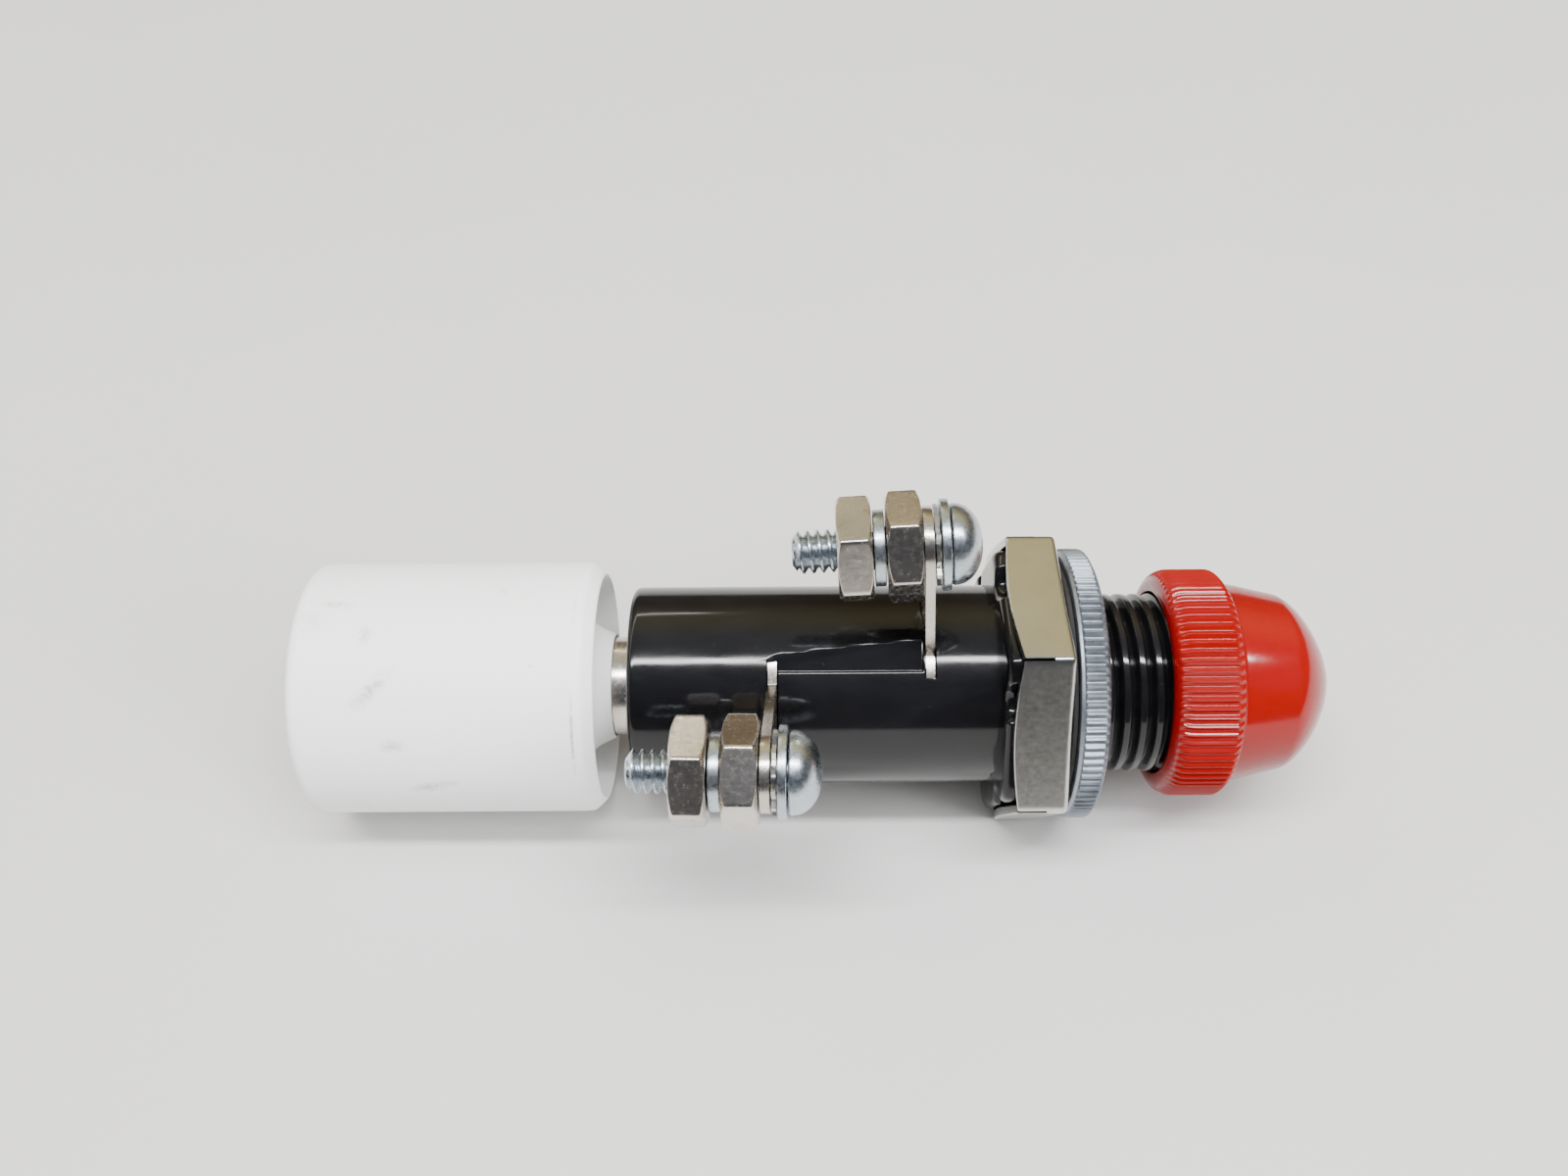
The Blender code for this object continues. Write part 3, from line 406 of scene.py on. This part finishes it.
def turned(name, profile, slot, steps=128, wave=None, loop=True, place=None, angle=32, slide=None):
    """Turn (x, r) points in millimetres about X; wave and slide may change r and x with the turn."""
    bm = bmesh.new()
    rings = []
    for x, r in profile:
        if r < 1e-6:
            rings.append([bm.verts.new((x * MM, 0, 0))] * steps)
            continue
        ring = []
        for j in range(steps):
            turn = math.tau * j / steps
            radius = (wave(x, r, turn) if wave else r) * MM
            along = (slide(x, r, turn) if slide else x) * MM
            ring.append(bm.verts.new((along, radius * math.cos(turn), radius * math.sin(turn))))
        rings.append(ring)
    pairs = list(zip(rings, rings[1:]))
    if loop:
        pairs.append((rings[-1], rings[0]))
    for a, b in pairs:
        for j in range(steps):
            k = (j + 1) % steps
            corners = []
            for vert in (a[j], a[k], b[k], b[j]):
                if vert not in corners:
                    corners.append(vert)
            if len(corners) > 2:
                bm.faces.new(corners)
    if place is not None:
        bm.transform(place)
    return finish_mesh(name, bm, slot, angle)


def helix(name, x0, x1, pitch, shape, limit, slot, steps=96, samples=14, place=None):
    """A right-hand thread from x0 to x1: shape(u) gives the radius over one pitch."""
    bm = bmesh.new()
    turns = int(math.ceil((x1 - x0) / pitch)) + 2
    rows = []
    for i in range(turns * samples + 1):
        row = []
        for j in range(steps):
            along = i / samples - 1 + j / steps
            x = min(max(x0 + pitch * along, x0), x1)
            turn = math.tau * j / steps
            r = min(shape((i / samples) % 1.0), limit(x))
            row.append(bm.verts.new((x * MM, r * MM * math.cos(turn), r * MM * math.sin(turn))))
        rows.append(row)
    for i in range(len(rows) - 1):
        for j in range(steps - 1):
            bm.faces.new((rows[i][j], rows[i][j + 1], rows[i + 1][j + 1], rows[i + 1][j]))
        if i + 1 + samples < len(rows):
            j = steps - 1
            a, b = rows[i + samples], rows[i + 1 + samples]
            bm.faces.new((rows[i][j], a[0], b[0], rows[i + 1][j]))
    bmesh.ops.remove_doubles(bm, verts=bm.verts, dist=0.0000005)
    if place is not None:
        bm.transform(place)
    return finish_mesh(name, bm, slot, 50)


def prism(name, loops, low, high, frame_matrix, slot=None):
    """A straight prism from outlines in a local XY plane, from low to high along local Z."""
    curve = bpy.data.curves.new(name, "CURVE")
    curve.dimensions = "2D"
    curve.fill_mode = "BOTH"
    curve.extrude = (high - low) * MM / 2
    for loop in loops:
        spline = curve.splines.new("POLY")
        spline.points.add(len(loop) - 1)
        spline.use_cyclic_u = True
        for point, (u, v) in zip(spline.points, loop):
            point.co = (u * MM, v * MM, 0, 1)
    draft = bpy.data.objects.new(name + "_draft", curve)
    bpy.context.scene.collection.objects.link(draft)
    bpy.context.view_layer.update()
    graph = bpy.context.evaluated_depsgraph_get()
    mesh = bpy.data.meshes.new_from_object(draft.evaluated_get(graph))
    bpy.data.objects.remove(draft, do_unlink=True)
    bm = bmesh.new()
    bm.from_mesh(mesh)
    bmesh.ops.remove_doubles(bm, verts=bm.verts, dist=0.0000005)
    bm.transform(frame_matrix @ Matrix.Translation((0, 0, (low + high) * MM / 2)))
    bpy.data.meshes.remove(mesh)
    return finish_mesh(name, bm, slot)


def cut_away(obj, cutter, angle=32):
    """Cut one object out of another, and drop the cutter."""
    modifier = obj.modifiers.new("cut", "BOOLEAN")
    modifier.solver = "EXACT"
    modifier.operation = "DIFFERENCE"
    modifier.object = cutter
    bake(obj, angle)
    bpy.data.objects.remove(cutter, do_unlink=True)


def bake(obj, angle=32):
    """Replace the object's mesh with its evaluated one."""
    bpy.context.view_layer.update()
    graph = bpy.context.evaluated_depsgraph_get()
    mesh = bpy.data.meshes.new_from_object(obj.evaluated_get(graph))
    obj.modifiers.clear()
    obj.data = mesh
    for face in mesh.polygons:
        face.use_smooth = True
    mesh.set_sharp_from_angle(angle=math.radians(angle))


def soften(obj, width, segments=3, angle=32):
    """Round the sharp edges and even out the shading."""
    bevel = obj.modifiers.new("soften", "BEVEL")
    bevel.width = width * MM
    bevel.segments = segments
    bevel.limit_method = "ANGLE"
    bevel.angle_limit = math.radians(angle)
    even = obj.modifiers.new("even", "WEIGHTED_NORMAL")
    even.weight = 100
    even.keep_sharp = True
    bake(obj, 60)


def facing(degrees, x=0.0, radius=0.0):
    """Local X across, local Y away from the axis, local Z along +X."""
    angle = math.radians(degrees)
    out = Vector((0, -math.cos(angle), math.sin(angle)))
    along = Vector((1, 0, 0))
    turn = Matrix((out.cross(along), out, along)).transposed().to_4x4()
    return Matrix.Translation(out * radius * MM + along * x * MM) @ turn


def circle(radius, count=48, centre=(0.0, 0.0)):
    turns = [math.tau * i / count for i in range(count)]
    return [(centre[0] + radius * math.cos(a), centre[1] + radius * math.sin(a)) for a in turns]


def hexagon_share(turn, sharpness):
    """Radius of a hexagon with round corners, as a share of half its width across flats."""
    sides = [max(0.0, math.cos(turn - math.radians(30 + 60 * k))) ** sharpness for k in range(6)]
    return sum(sides) ** (-1 / sharpness)


def show(obj, body, node):
    """Ride on a body and stand for a CAD node."""
    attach(obj, body)
    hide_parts(node)
    return obj


# ------------------------------------------------------------------ red lens cap


def dome_line(base_x, base_r, tip_x, count):
    """A rounded nose on a cone, from the tip to the base."""
    nose_x, nose_r = base_x + 3.7, base_r - 0.85
    points = [(tip_x, 0.0)]
    for i in range(1, count):
        t = math.pi / 2 * (1 - i / (count - 1))
        x = nose_x + (tip_x - nose_x) * math.sin(t) ** 1.3
        points.append((x, nose_r * math.cos(t) ** 1.45))
    return points + [(base_x, base_r)]


def build_cap():
    low, high = span("lens_cap")
    rear, tip = low[0], high[0]
    collar = radius_of("lens_cap")
    wall = 1.5
    front = rear + 5.8
    base = collar - 1.3
    bore = collar - 1.96
    bore_end = rear + 5.94
    dome_x = front + 1.2
    outer_dome = dome_line(dome_x, base - 0.05, tip, 26)
    inner_dome = dome_line(dome_x, base - wall, tip - wall, 12)
    collar_line = rounded(
        [(dome_x, base - 0.05), (front + 0.1, base + 0.02, 0.25), (front - 0.02, collar - 0.62, 0.35),
         (front - 0.62, collar, 0.25), (rear + 1.25, collar, 0.6), (rear + 0.45, collar - 0.35, 0.5),
         (rear, collar - 1.2, 0.35), (rear, bore, 0.15), (bore_end, bore)], 0.2, 5)
    profile = outer_dome[:-1] + collar_line + [(bore_end, base - wall)] + inner_dome[::-1]
    flutes, flute_depth = 79, 0.27

    def wave(x, r, turn):
        if r < collar - 1.1:
            return r
        front_fade = min(1.0, max(0.0, (front - 0.12 - x) / 0.25))
        rear_fade = min(1.0, max(0.0, (x - rear - 0.2) / 0.5))
        inside = front_fade * rear_fade
        dip = (0.5 - 0.5 * math.cos(flutes * turn)) ** 0.75
        return r - flute_depth * inside * dip

    cap = turned("lens_cap_fine", profile, "lens_red", flutes * 8, wave, False, None, 60)
    show(cap, "cap", "lens_cap")


# ------------------------------------------------------------------ knurled ring


def build_ring():
    low, high = span("knurled_ring")
    rear, front = low[0], high[0]
    outer = radius_of("knurled_ring")
    inner = BUSH_D / 2 + 0.2
    profile = rounded(
        [(front, inner + 0.45, 0), (front, outer - 0.75, 0.2), (front - 0.38, outer - 0.02, 0.2),
         (rear + 0.42, outer, 0.06), (rear + 0.32, outer - 0.3, 0.06), (rear, outer - 0.36, 0.12),
         (rear, inner, 0.1), (front - 0.45, inner, 0)], 0.1, 3)
    flutes, flute_depth = 100, 0.30

    def wave(x, r, turn):
        if r < outer - 0.5 or x < rear + 0.36:
            return r
        fade = min(1.0, max(0.0, (r - outer + 0.5) / 0.35))
        return r - flute_depth * fade * (0.5 - 0.5 * math.cos(flutes * turn)) ** 0.8

    ring = turned("knurled_ring_fine", profile, "zinc_dull", flutes * 10, wave, True, None, 45)
    show(ring, "ring", "knurled_ring")


# ------------------------------------------------------------------ barrel, flange and bush


def flange_radius(across, turn):
    """Polar outline of the flange: a hexagon with rounded corners and a round notch on each side."""
    half = across / 2
    notch_at, notch_wide, notch_deep = -2.5, 1.5, 1.26
    radius = half * hexagon_share(turn, 34)
    for k in range(6):
        side = turn - math.radians(30 + 60 * k)
        up, over = math.cos(side), math.sin(side)
        if up < 0.5:
            continue
        # The ray meets the notch's ellipse where a r^2 + b r + c = 0.
        a = (over / notch_wide) ** 2 + (up / notch_deep) ** 2
        b = -2 * (over * notch_at / notch_wide**2 + up * half / notch_deep**2)
        c = (notch_at / notch_wide) ** 2 + (half / notch_deep) ** 2 - 1
        inside = b * b - 4 * a * c
        if inside > 0:
            root = (-b - math.sqrt(inside)) / (2 * a)
            radius = min(radius, root)
    return radius


def build_barrel():
    low, high = span("barrel_moulding")
    rear, bush_end = low[0], high[0]
    barrel, bore = BARREL_R, BORE_R
    bush = BUSH_D / 2
    neck = bush - 0.85
    lamp_end, seat, seat_r = -31.5, -30.5, 5.35
    hole = radius_of("hollow_rivet") - 0.7 + 0.15
    flange_front, flange_rear = -1.0, -5.4
    across = high[2] - low[2]
    steps, full = 720, 12.0
    start = -0.05
    # Rings every millimetre keep the shading even beside the cuts.
    side = [(x, barrel, 0) for x in range(-3, -36, -1)]
    profile = rounded(
        [(bush_end - 0.6, bore, 0), (bush_end - 0.6, neck - 0.3, 0), (start, neck - 0.3, 0),
         (start, bush - 0.1, 0.1), (flange_front - 0.2, bush - 0.1, 0), (flange_front - 0.2, barrel, 0),
         *side, (rear, barrel, 0.75), (rear, hole, 0.15), (lamp_end, hole, 0),
         (lamp_end, seat_r, 0), (seat, seat_r, 0), (seat, bore, 0)],
        0.2, 5)
    body = turned("barrel_fine", profile, "phenolic_black", 144)
    outline = [flange_radius(across, math.tau * j / steps) for j in range(steps)]
    outline = [sum(outline[(j + k) % steps] for k in range(-3, 4)) / 7 for j in range(steps)]

    def lobed(x, r, turn):
        return r if r < barrel else outline[round(turn / math.tau * steps) % steps] - (full - r)

    rim = rounded(
        [(flange_front, bush), (flange_front, full, 0.3), (flange_rear, full, 0.95),
         (flange_rear, barrel - 0.4)], 0.3, 8)
    flange = turned("flange_fine", rim, "phenolic_black", steps, lobed, True, None, 60)
    show(flange, "socket", "barrel_moulding")
    # The shallow recess in the barrel's side, which gets shallower to the rear.
    recess_front, recess_rear, recess_facing = -11.85, -24.6, 52
    cutter = bmesh.new()
    bmesh.ops.create_cube(cutter, size=1.0)
    for vert in cutter.verts:
        x = recess_front if vert.co.z > 0 else recess_rear
        depth = 0.78 if vert.co.z > 0 else 0.33
        y = 11.0 if vert.co.y > 0 else barrel - depth
        vert.co = Vector((6.0 if vert.co.x > 0 else 0.95, y, x)) * MM
    cutter.transform(facing(recess_facing))
    block = finish_mesh("cut_recess", cutter, None)
    soften(block, 0.22, 4)
    cut_away(body, block)
    for node, degrees in (("front_terminal_strip", 90), ("rear_terminal_strip", 30)):
        x1 = span(node)[1][0]
        x0 = x1 - STRIP_THICKNESS
        wide = 5.05
        slot = [(-wide, bore - 1.2), (wide, bore - 1.2), (wide, barrel + 1), (-wide, barrel + 1)]
        pocket = prism("cut_pocket", [slot], x0 - 0.1, x1 + 0.1, facing(degrees))
        cut_away(body, pocket)
    soften(body, 0.09, 2, 40)
    show(body, "socket", "barrel_moulding")

    depth = 0.78

    def shape(u):
        near = min(u, 1 - u)
        return bush - depth * (0.5 + 0.5 * math.cos(math.pi * min(near / 0.36, 1.0)))

    def limit(x):
        return min(neck + (bush_end - x) * 1.1 + 0.05, neck + max(0.0, x - start) * 4 + 0.05)

    thread = helix(
        "bush_thread", start - 0.05, bush_end, BUSH_PITCH, shape, limit, "phenolic_black", 120, 18)
    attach(thread, "socket")
    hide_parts("barrel_moulding")
    face = [(bush_end, neck), (bush_end, bore), (bush_end - 0.7, bore), (bush_end - 0.7, neck)]
    lip = turned("bush_mouth", rounded(face + [face[0]], 0.12), "phenolic_black", 96, None, False)
    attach(lip, "socket")


# ------------------------------------------------------------------ hex shell


def build_hex():
    """A flat front with a round hole, six bent flaps and a slit at every corner."""
    half = radius_of("hex_shell")
    wall, bend, hole, steps = 0.85, 0.6, PANEL_HOLE_R, 720
    rear = -4.8
    # A flap is this much longer at its corners, for each millimetre that they stand out.
    corner_slope = 0.326
    slit_front, slit_rear, slit_half = -1.8, -6.6, 0.13
    sides = [half * hexagon_share(math.tau * j / steps, 100) for j in range(steps)]
    outer = half + 1.0

    def wave(x, r, turn):
        side = sides[round(turn / math.tau * steps) % steps]
        return r if r < hole + 0.4 else side - (outer - r)

    def slide(x, r, turn):
        side = sides[round(turn / math.tau * steps) % steps]
        return x + corner_slope * (side - half) * max(0.0, x / rear)

    inner = outer - wall
    profile = rounded(
        [(0.0, hole), (0.0, hole + 1.0, 0), (0.0, outer, bend), (rear, outer, 0.14), (rear, inner, 0.14),
         (-wall, inner, 0.25), (-wall, hole + 1.0, 0), (-wall, hole)], 0.1, 7)
    shell = turned("hex_shell_fine", profile, "steel_plated", steps, wave, True, None, 40, slide)
    star = []
    for i in range(6):
        turn = math.radians(60 * i)
        cos, sin = math.cos(turn), math.sin(turn)
        for u, v in ((10.0, -slit_half), (15.0, -slit_half), (15.0, slit_half), (10.0, slit_half)):
            star.append((u * cos - v * sin, u * sin + v * cos))
    cut_away(shell, prism("cut", [star], slit_rear, slit_front, facing(90)), 40)
    show(shell, "socket", "hex_shell")


# ------------------------------------------------------------------ porcelain housing and rivet


def build_housing():
    low, high = span("resistor_housing")
    rear, hub = low[0], high[0]
    outer = radius_of("resistor_housing")
    front = hub - 0.8
    hole, wall, floor = 4.5, 3.9, hub - 6.9
    # The dished front: share of the way out from the hole, and depth behind the hub.
    dish_line = (
        (0.02, 0.0), (0.05, 0.45), (0.085, 0.95), (0.13, 1.5), (0.2, 2.1), (0.28, 2.55),
        (0.36, 2.86), (0.45, 3.08), (0.54, 3.16), (0.62, 3.02), (0.70, 2.5))
    dish = [(hub - drop, hole + (outer - hole) * share) for share, drop in dish_line]
    rim = rounded(
        [dish[-1], (front - 0.75, outer - 1.5, 0.3), (front, outer - 1.16, 0.2),
         (front - 0.1, outer - 0.92, 0.15), (front - 0.98, outer - 0.06, 0.3),
         (front - 1.7, outer, 0.3), (rear, outer, 1.15), (rear, outer - wall, 0.3),
         (floor, outer - wall, 0), (floor, hole, 0), (hub, hole, 0.05)], 0.3, 6)
    profile = dish[:-1] + rim
    housing = turned(
        "resistor_housing_fine", profile, "porcelain_white", 160, None, True, None, 50)
    show(housing, "socket", "resistor_housing")


def build_rivet():
    low, high = span("hollow_rivet")
    lip = radius_of("hollow_rivet")
    tube = lip - 0.7
    rim, wall = 0.6, 0.75
    x0, x1 = low[0], high[0]
    profile = rounded(
        [(x1, tube - wall), (x1, lip, 0.25), (x1 - rim, lip, 0.15), (x1 - rim, tube, 0.1),
         (x0 + rim, tube, 0.1), (x0 + rim, lip, 0.15), (x0, lip, 0.25), (x0, tube - wall)], 0.1, 4)
    show(turned("hollow_rivet_fine", profile, "nickel_plated", 96), "socket", "hollow_rivet")


def build_gasket():
    low, high = span("panel_gasket")
    outer, hole = radius_of("panel_gasket"), PANEL_HOLE_R
    profile = rounded(
        [(high[0], hole), (high[0], outer, 0.1), (low[0], outer, 0.1), (low[0], hole)], 0.1)
    show(turned("panel_gasket_fine", profile, "rubber_black", 128), "ring_seat", "panel_gasket")


# ------------------------------------------------------------------ terminals


def strip_outline(bore):
    """A round end on a narrow tongue, wider inside the barrel's surface."""
    half, wide, flush = 3.175, 4.9, 8.5
    tip = []
    for i in range(25):
        turn = math.pi * i / 24
        tip.append((half * math.cos(turn), TERMINAL_R + half * math.sin(turn)))
    widths = (half, 3.6, 4.1, 4.5, wide)
    left = [(-w, math.sqrt(flush**2 - w**2)) for w in widths]
    right = [(w, math.sqrt(flush**2 - w**2)) for w in reversed(widths)]
    return tip + left + [(-wide, bore), (wide, bore)] + right


def build_strip(prefix, degrees, place):
    """The strip, bent back where it leaves the barrel."""
    node = f"{prefix}_terminal_strip"
    x1 = span(node)[1][0]
    loops = [strip_outline(BORE_R - 0.25), circle(WASHER_BORE, 40, (0.0, TERMINAL_R))]
    strip = prism(
        node + "_fine", loops, x1 - STRIP_THICKNESS, x1, facing(degrees), "nickel_plated")
    soften(strip, 0.10, 3)
    out = facing(degrees).col[1].to_3d()
    along = place.col[0].to_3d()
    slope = along.dot(out) / along.x
    bm = bmesh.new()
    bm.from_mesh(strip.data)
    everything = bm.verts[:] + bm.edges[:] + bm.faces[:]
    bmesh.ops.bisect_plane(bm, geom=everything, plane_co=out * BEND_R * MM, plane_no=out)
    for vert in bm.verts:
        vert.co.x -= max(0.0, vert.co.dot(out) - BEND_R * MM) * slope
    bm.to_mesh(strip.data)
    bm.free()
    show(strip, "socket", node)


def build_screw(prefix, place, slot_turn):
    """A round slotted head, a rolled thread and the thread's flat end."""
    node = f"{prefix}_terminal_screw"
    tip, top, radius = span_along(node, place)
    under = tip + SCREW_LENGTH
    edge = under + 0.25
    head = [(top, 0.0)]
    for i in range(1, 15):
        t = math.pi / 2 * i / 14
        head.append((edge + (top - under - 0.25) * math.cos(t), radius * math.sin(t) ** 0.9))
    seat = [(under + 0.08, radius - 0.02), (under, radius - 0.12), (under, 1.1), (under, 0.0)]
    profile = head + seat
    cap = turned(node + "_head", profile, "zinc_bright", 72, None, False, place, 50)
    turn = Matrix.Rotation(math.radians(slot_turn), 4, "X")
    outline = [(-0.45, -5), (0.45, -5), (0.45, 5), (-0.45, 5)]
    cutter = prism("cut_slot", [outline], under + 1.45, under + 5, place @ turn @ facing(90))
    cut_away(cap, cutter)
    soften(cap, 0.07, 2, 40)
    show(cap, "socket", node)
    root, crest = 1.28, 1.75

    def shape(u):
        near = min(u, 1 - u) * 2
        return root + (crest - root) * min(1.0, max(0.0, (near - 0.1) / 0.74))

    def limit(x):
        return min(root - 0.2 + (x - tip) * 1.3, crest)

    thread = helix(
        node + "_thread", tip, under + 0.1, SCREW_PITCH, shape, limit, "zinc_bright", 48, 12, place)
    end = turned(
        node + "_end", [(tip, root - 0.2), (tip + 0.05, root - 0.25), (tip + 0.02, 0.0)],
        "zinc_bright", 48, None, False, place)
    for piece in (thread, end):
        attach(piece, "socket")
    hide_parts(node)


def build_nut(node, body, place, spin):
    """A hexagon nut with both faces chamfered, its corners at spin degrees from +Y."""
    x0, x1, _ = span_along(node, place)
    half = NUT_ACROSS / 2
    slope = (half * (2 / math.sqrt(3) - 1) + 0.25) / 0.46

    def wave(x, r, turn):
        if r < half - 1.0:
            return r
        flat = half * hexagon_share(turn, 70)
        cone = half - 0.05 + min(x1 - x, x - x0) * slope
        gap = abs(flat - cone)
        return min(flat, cone) - 0.02 * math.exp(-gap / 0.03)

    steps = [0.0, 0.02, 0.05, 0.08, 0.12, 0.16, 0.2, 0.24, 0.28, 0.32, 0.37, 0.43, 0.5]
    line = [(x1 - step, half) for step in steps] + [(x0 + step, half) for step in steps[::-1]]
    bore = WASHER_BORE
    profile = [(x1 - 0.35, bore), (x1, bore + 0.3)] + line + [(x0, bore + 0.3), (x0 + 0.35, bore)]
    turn = Matrix.Rotation(math.radians(spin), 4, "X")
    nut = turned(node + "_fine", profile, "nickel_plated", 240, wave, True, place @ turn, 42)
    show(nut, body, node)


def build_washer(node, body, place, split=False):
    """A flat ring; a split washer has a slanted cut through one side."""
    x0, x1, outer = span_along(node, place)
    inner = WASHER_BORE
    profile = rounded([(x1, inner), (x1, outer, 0.12), (x0, outer, 0.12), (x0, inner)], 0.1)
    washer = turned(node + "_fine", profile, "zinc_bright", 64, None, True, place)
    if split:
        tilt = Matrix.Translation(((x0 + x1) / 2 * MM, 0, 0)) @ Matrix.Rotation(0.5, 4, "Z")
        cutter = bmesh.new()
        bmesh.ops.create_cube(cutter, size=1.0)
        for vert in cutter.verts:
            vert.co = Vector((vert.co.x * 4, 3.4 + vert.co.y * 5.6, vert.co.z * 0.3)) * MM
        cutter.transform(place @ Matrix.Rotation(math.radians(25), 4, "X") @ tilt)
        cut_away(washer, finish_mesh("cut_split", cutter, None))
    show(washer, body, node)


build_cap()
build_ring()
build_barrel()
build_hex()
build_housing()
build_rivet()
build_gasket()
# Each terminal: its place round the barrel, and how far its two nuts are turned, in degrees.
SLOT_TURN = 40
TERMINALS = (("front", 90, 52.7, 5.7), ("rear", 30, 39.5, 52.5))
for prefix, degrees, inner_spin, outer_spin in TERMINALS:
    place = screw_frame(prefix)
    build_strip(prefix, degrees, place)
    build_screw(prefix, place, SLOT_TURN)
    build_nut(f"{prefix}_inner_nut", "socket", place, inner_spin)
    build_nut(f"{prefix}_outer_nut", f"{prefix}_nut", place, outer_spin)
    build_washer(f"{prefix}_flat_washer", "socket", place)
    build_washer(f"{prefix}_split_washer", f"{prefix}_nut_seat", place, True)

# ------------------------------------------------------------------ floor, light and camera


def build_floor():
    """A pale floor that touches the hex shell's flat and the housing's rear end."""
    hex_low = span("hex_shell")[0]
    housing_low = span("resistor_housing")[0]
    near = Vector((-4.0, 0, hex_low[2]))
    far = Vector((housing_low[0] + 1.2, 0, housing_low[2]))
    slope = math.atan2(far.z - near.z, near.x - far.x)
    mesh = bpy.data.meshes.new("floor")
    size = 6.0
    mesh.from_pydata(
        [(-size, -size, 0), (size, -size, 0), (size, size, 0), (-size, size, 0)], [], [(0, 1, 2, 3)])
    floor = bpy.data.objects.new("floor", mesh)
    bpy.context.scene.collection.objects.link(floor)
    floor.matrix_world = Matrix.Translation(near * MM) @ Matrix.Rotation(slope, 4, "Y")
    look = Look("floor_look").set(rough=0.6, spec=0.3)
    look.to(look.mix(rgb(196, 195, 193), rgb(203, 202, 200), look.noise(14, 4)), "Base Color")
    look.to(look.ramp(look.noise(60, 3), [(0.3, 0.55), (0.7, 0.65)]), "Roughness")
    mesh.materials.append(look.material)


def area_light(name, place, target, size, power, colour=(1, 1, 1), mirrored=True):
    """A soft rectangular light, in metres and watts; one that isn't mirrored stays out of shine."""
    light = bpy.data.lights.new(name, "AREA")
    light.shape = "RECTANGLE"
    light.size, light.size_y = size
    light.energy = power
    light.color = colour
    obj = bpy.data.objects.new(name, light)
    bpy.context.scene.collection.objects.link(obj)
    obj.visible_glossy = mirrored
    obj.location = place
    obj.rotation_euler = (Vector(target) - Vector(place)).to_track_quat("-Z", "Y").to_euler()


def build_world():
    """A soft room: dim on the camera's side, warm behind, pale overhead."""
    world = bpy.data.worlds.new("room")
    bpy.context.scene.world = world
    world.use_nodes = True
    tree = world.node_tree
    background = tree.nodes["Background"]
    coord = tree.nodes.new("ShaderNodeTexCoord").outputs["Generated"]
    split = tree.nodes.new("ShaderNodeSeparateXYZ")
    tree.links.new(coord, split.inputs[0])
    overhead, dim = (0.7, 0.72, 0.76, 1), (0.10, 0.105, 0.12, 1)
    near_side = colour_ramp(
        tree, split.outputs["Z"],
        [(0.0, (0.17, 0.165, 0.16, 1)), (0.3, dim), (0.5, dim), (0.8, (0.26, 0.28, 0.33, 1)),
         (1.0, overhead)])
    far_side = colour_ramp(
        tree, split.outputs["Z"],
        [(0.0, (0.16, 0.13, 0.10, 1)), (0.35, (0.34, 0.25, 0.15, 1)),
         (0.75, (1.15, 1.0, 0.52, 1)), (1.0, overhead)])
    back = colour_ramp(tree, split.outputs["Y"], [(0.10, 0.0), (0.45, 1.0)])
    mix = tree.nodes.new("ShaderNodeMix")
    mix.data_type = "RGBA"
    tree.links.new(back, mix.inputs[0])
    tree.links.new(near_side, mix.inputs[6])
    tree.links.new(far_side, mix.inputs[7])
    tree.links.new(mix.outputs[2], background.inputs["Color"])
    background.inputs["Strength"].default_value = 0.8


def build_camera():
    """Look down at about 48 degrees, square to the axis; lengths in millimetres, angles in degrees."""
    mid_x, reach, rise, pitch, roll = -23.557, 124.648, 52.201, 48.22, -0.395
    focal_pixels, image_width = 1412.0, 1600
    angle = math.radians(rise)
    place = Vector((mid_x, -reach * math.cos(angle), reach * math.sin(angle))) * MM
    data = bpy.data.cameras.new("camera")
    data.sensor_width = 36.0
    data.lens = focal_pixels / image_width * data.sensor_width
    data.clip_start = 0.005
    data.clip_end = 50.0
    camera = bpy.data.objects.new("camera", data)
    bpy.context.scene.collection.objects.link(camera)
    tip = Matrix.Rotation(math.radians(90 - pitch), 4, "X")
    spin = Matrix.Rotation(math.radians(roll), 4, "Z")
    camera.matrix_world = Matrix.Translation(place) @ tip @ spin
    bpy.context.scene.camera = camera


build_floor()
build_world()
area_light("overhead", (-0.02, -0.16, 0.85), (-0.02, 0, 0), (1.2, 0.075), 15.0)
area_light("behind", (-0.5, 0.46, 0.66), (0, 0, 0), (1.2, 0.03), 1.2, (1.0, 0.97, 0.92))
area_light("fill_above", (0.0, -0.25, 0.9), (-0.02, 0, 0), (0.9, 0.9), 11.0, (0.98, 0.99, 1.0), False)
area_light("fill_right", (0.75, -0.45, 0.45), (-0.02, 0, 0), (0.5, 0.5), 9.0, (0.98, 0.99, 1.0), False)
build_camera()
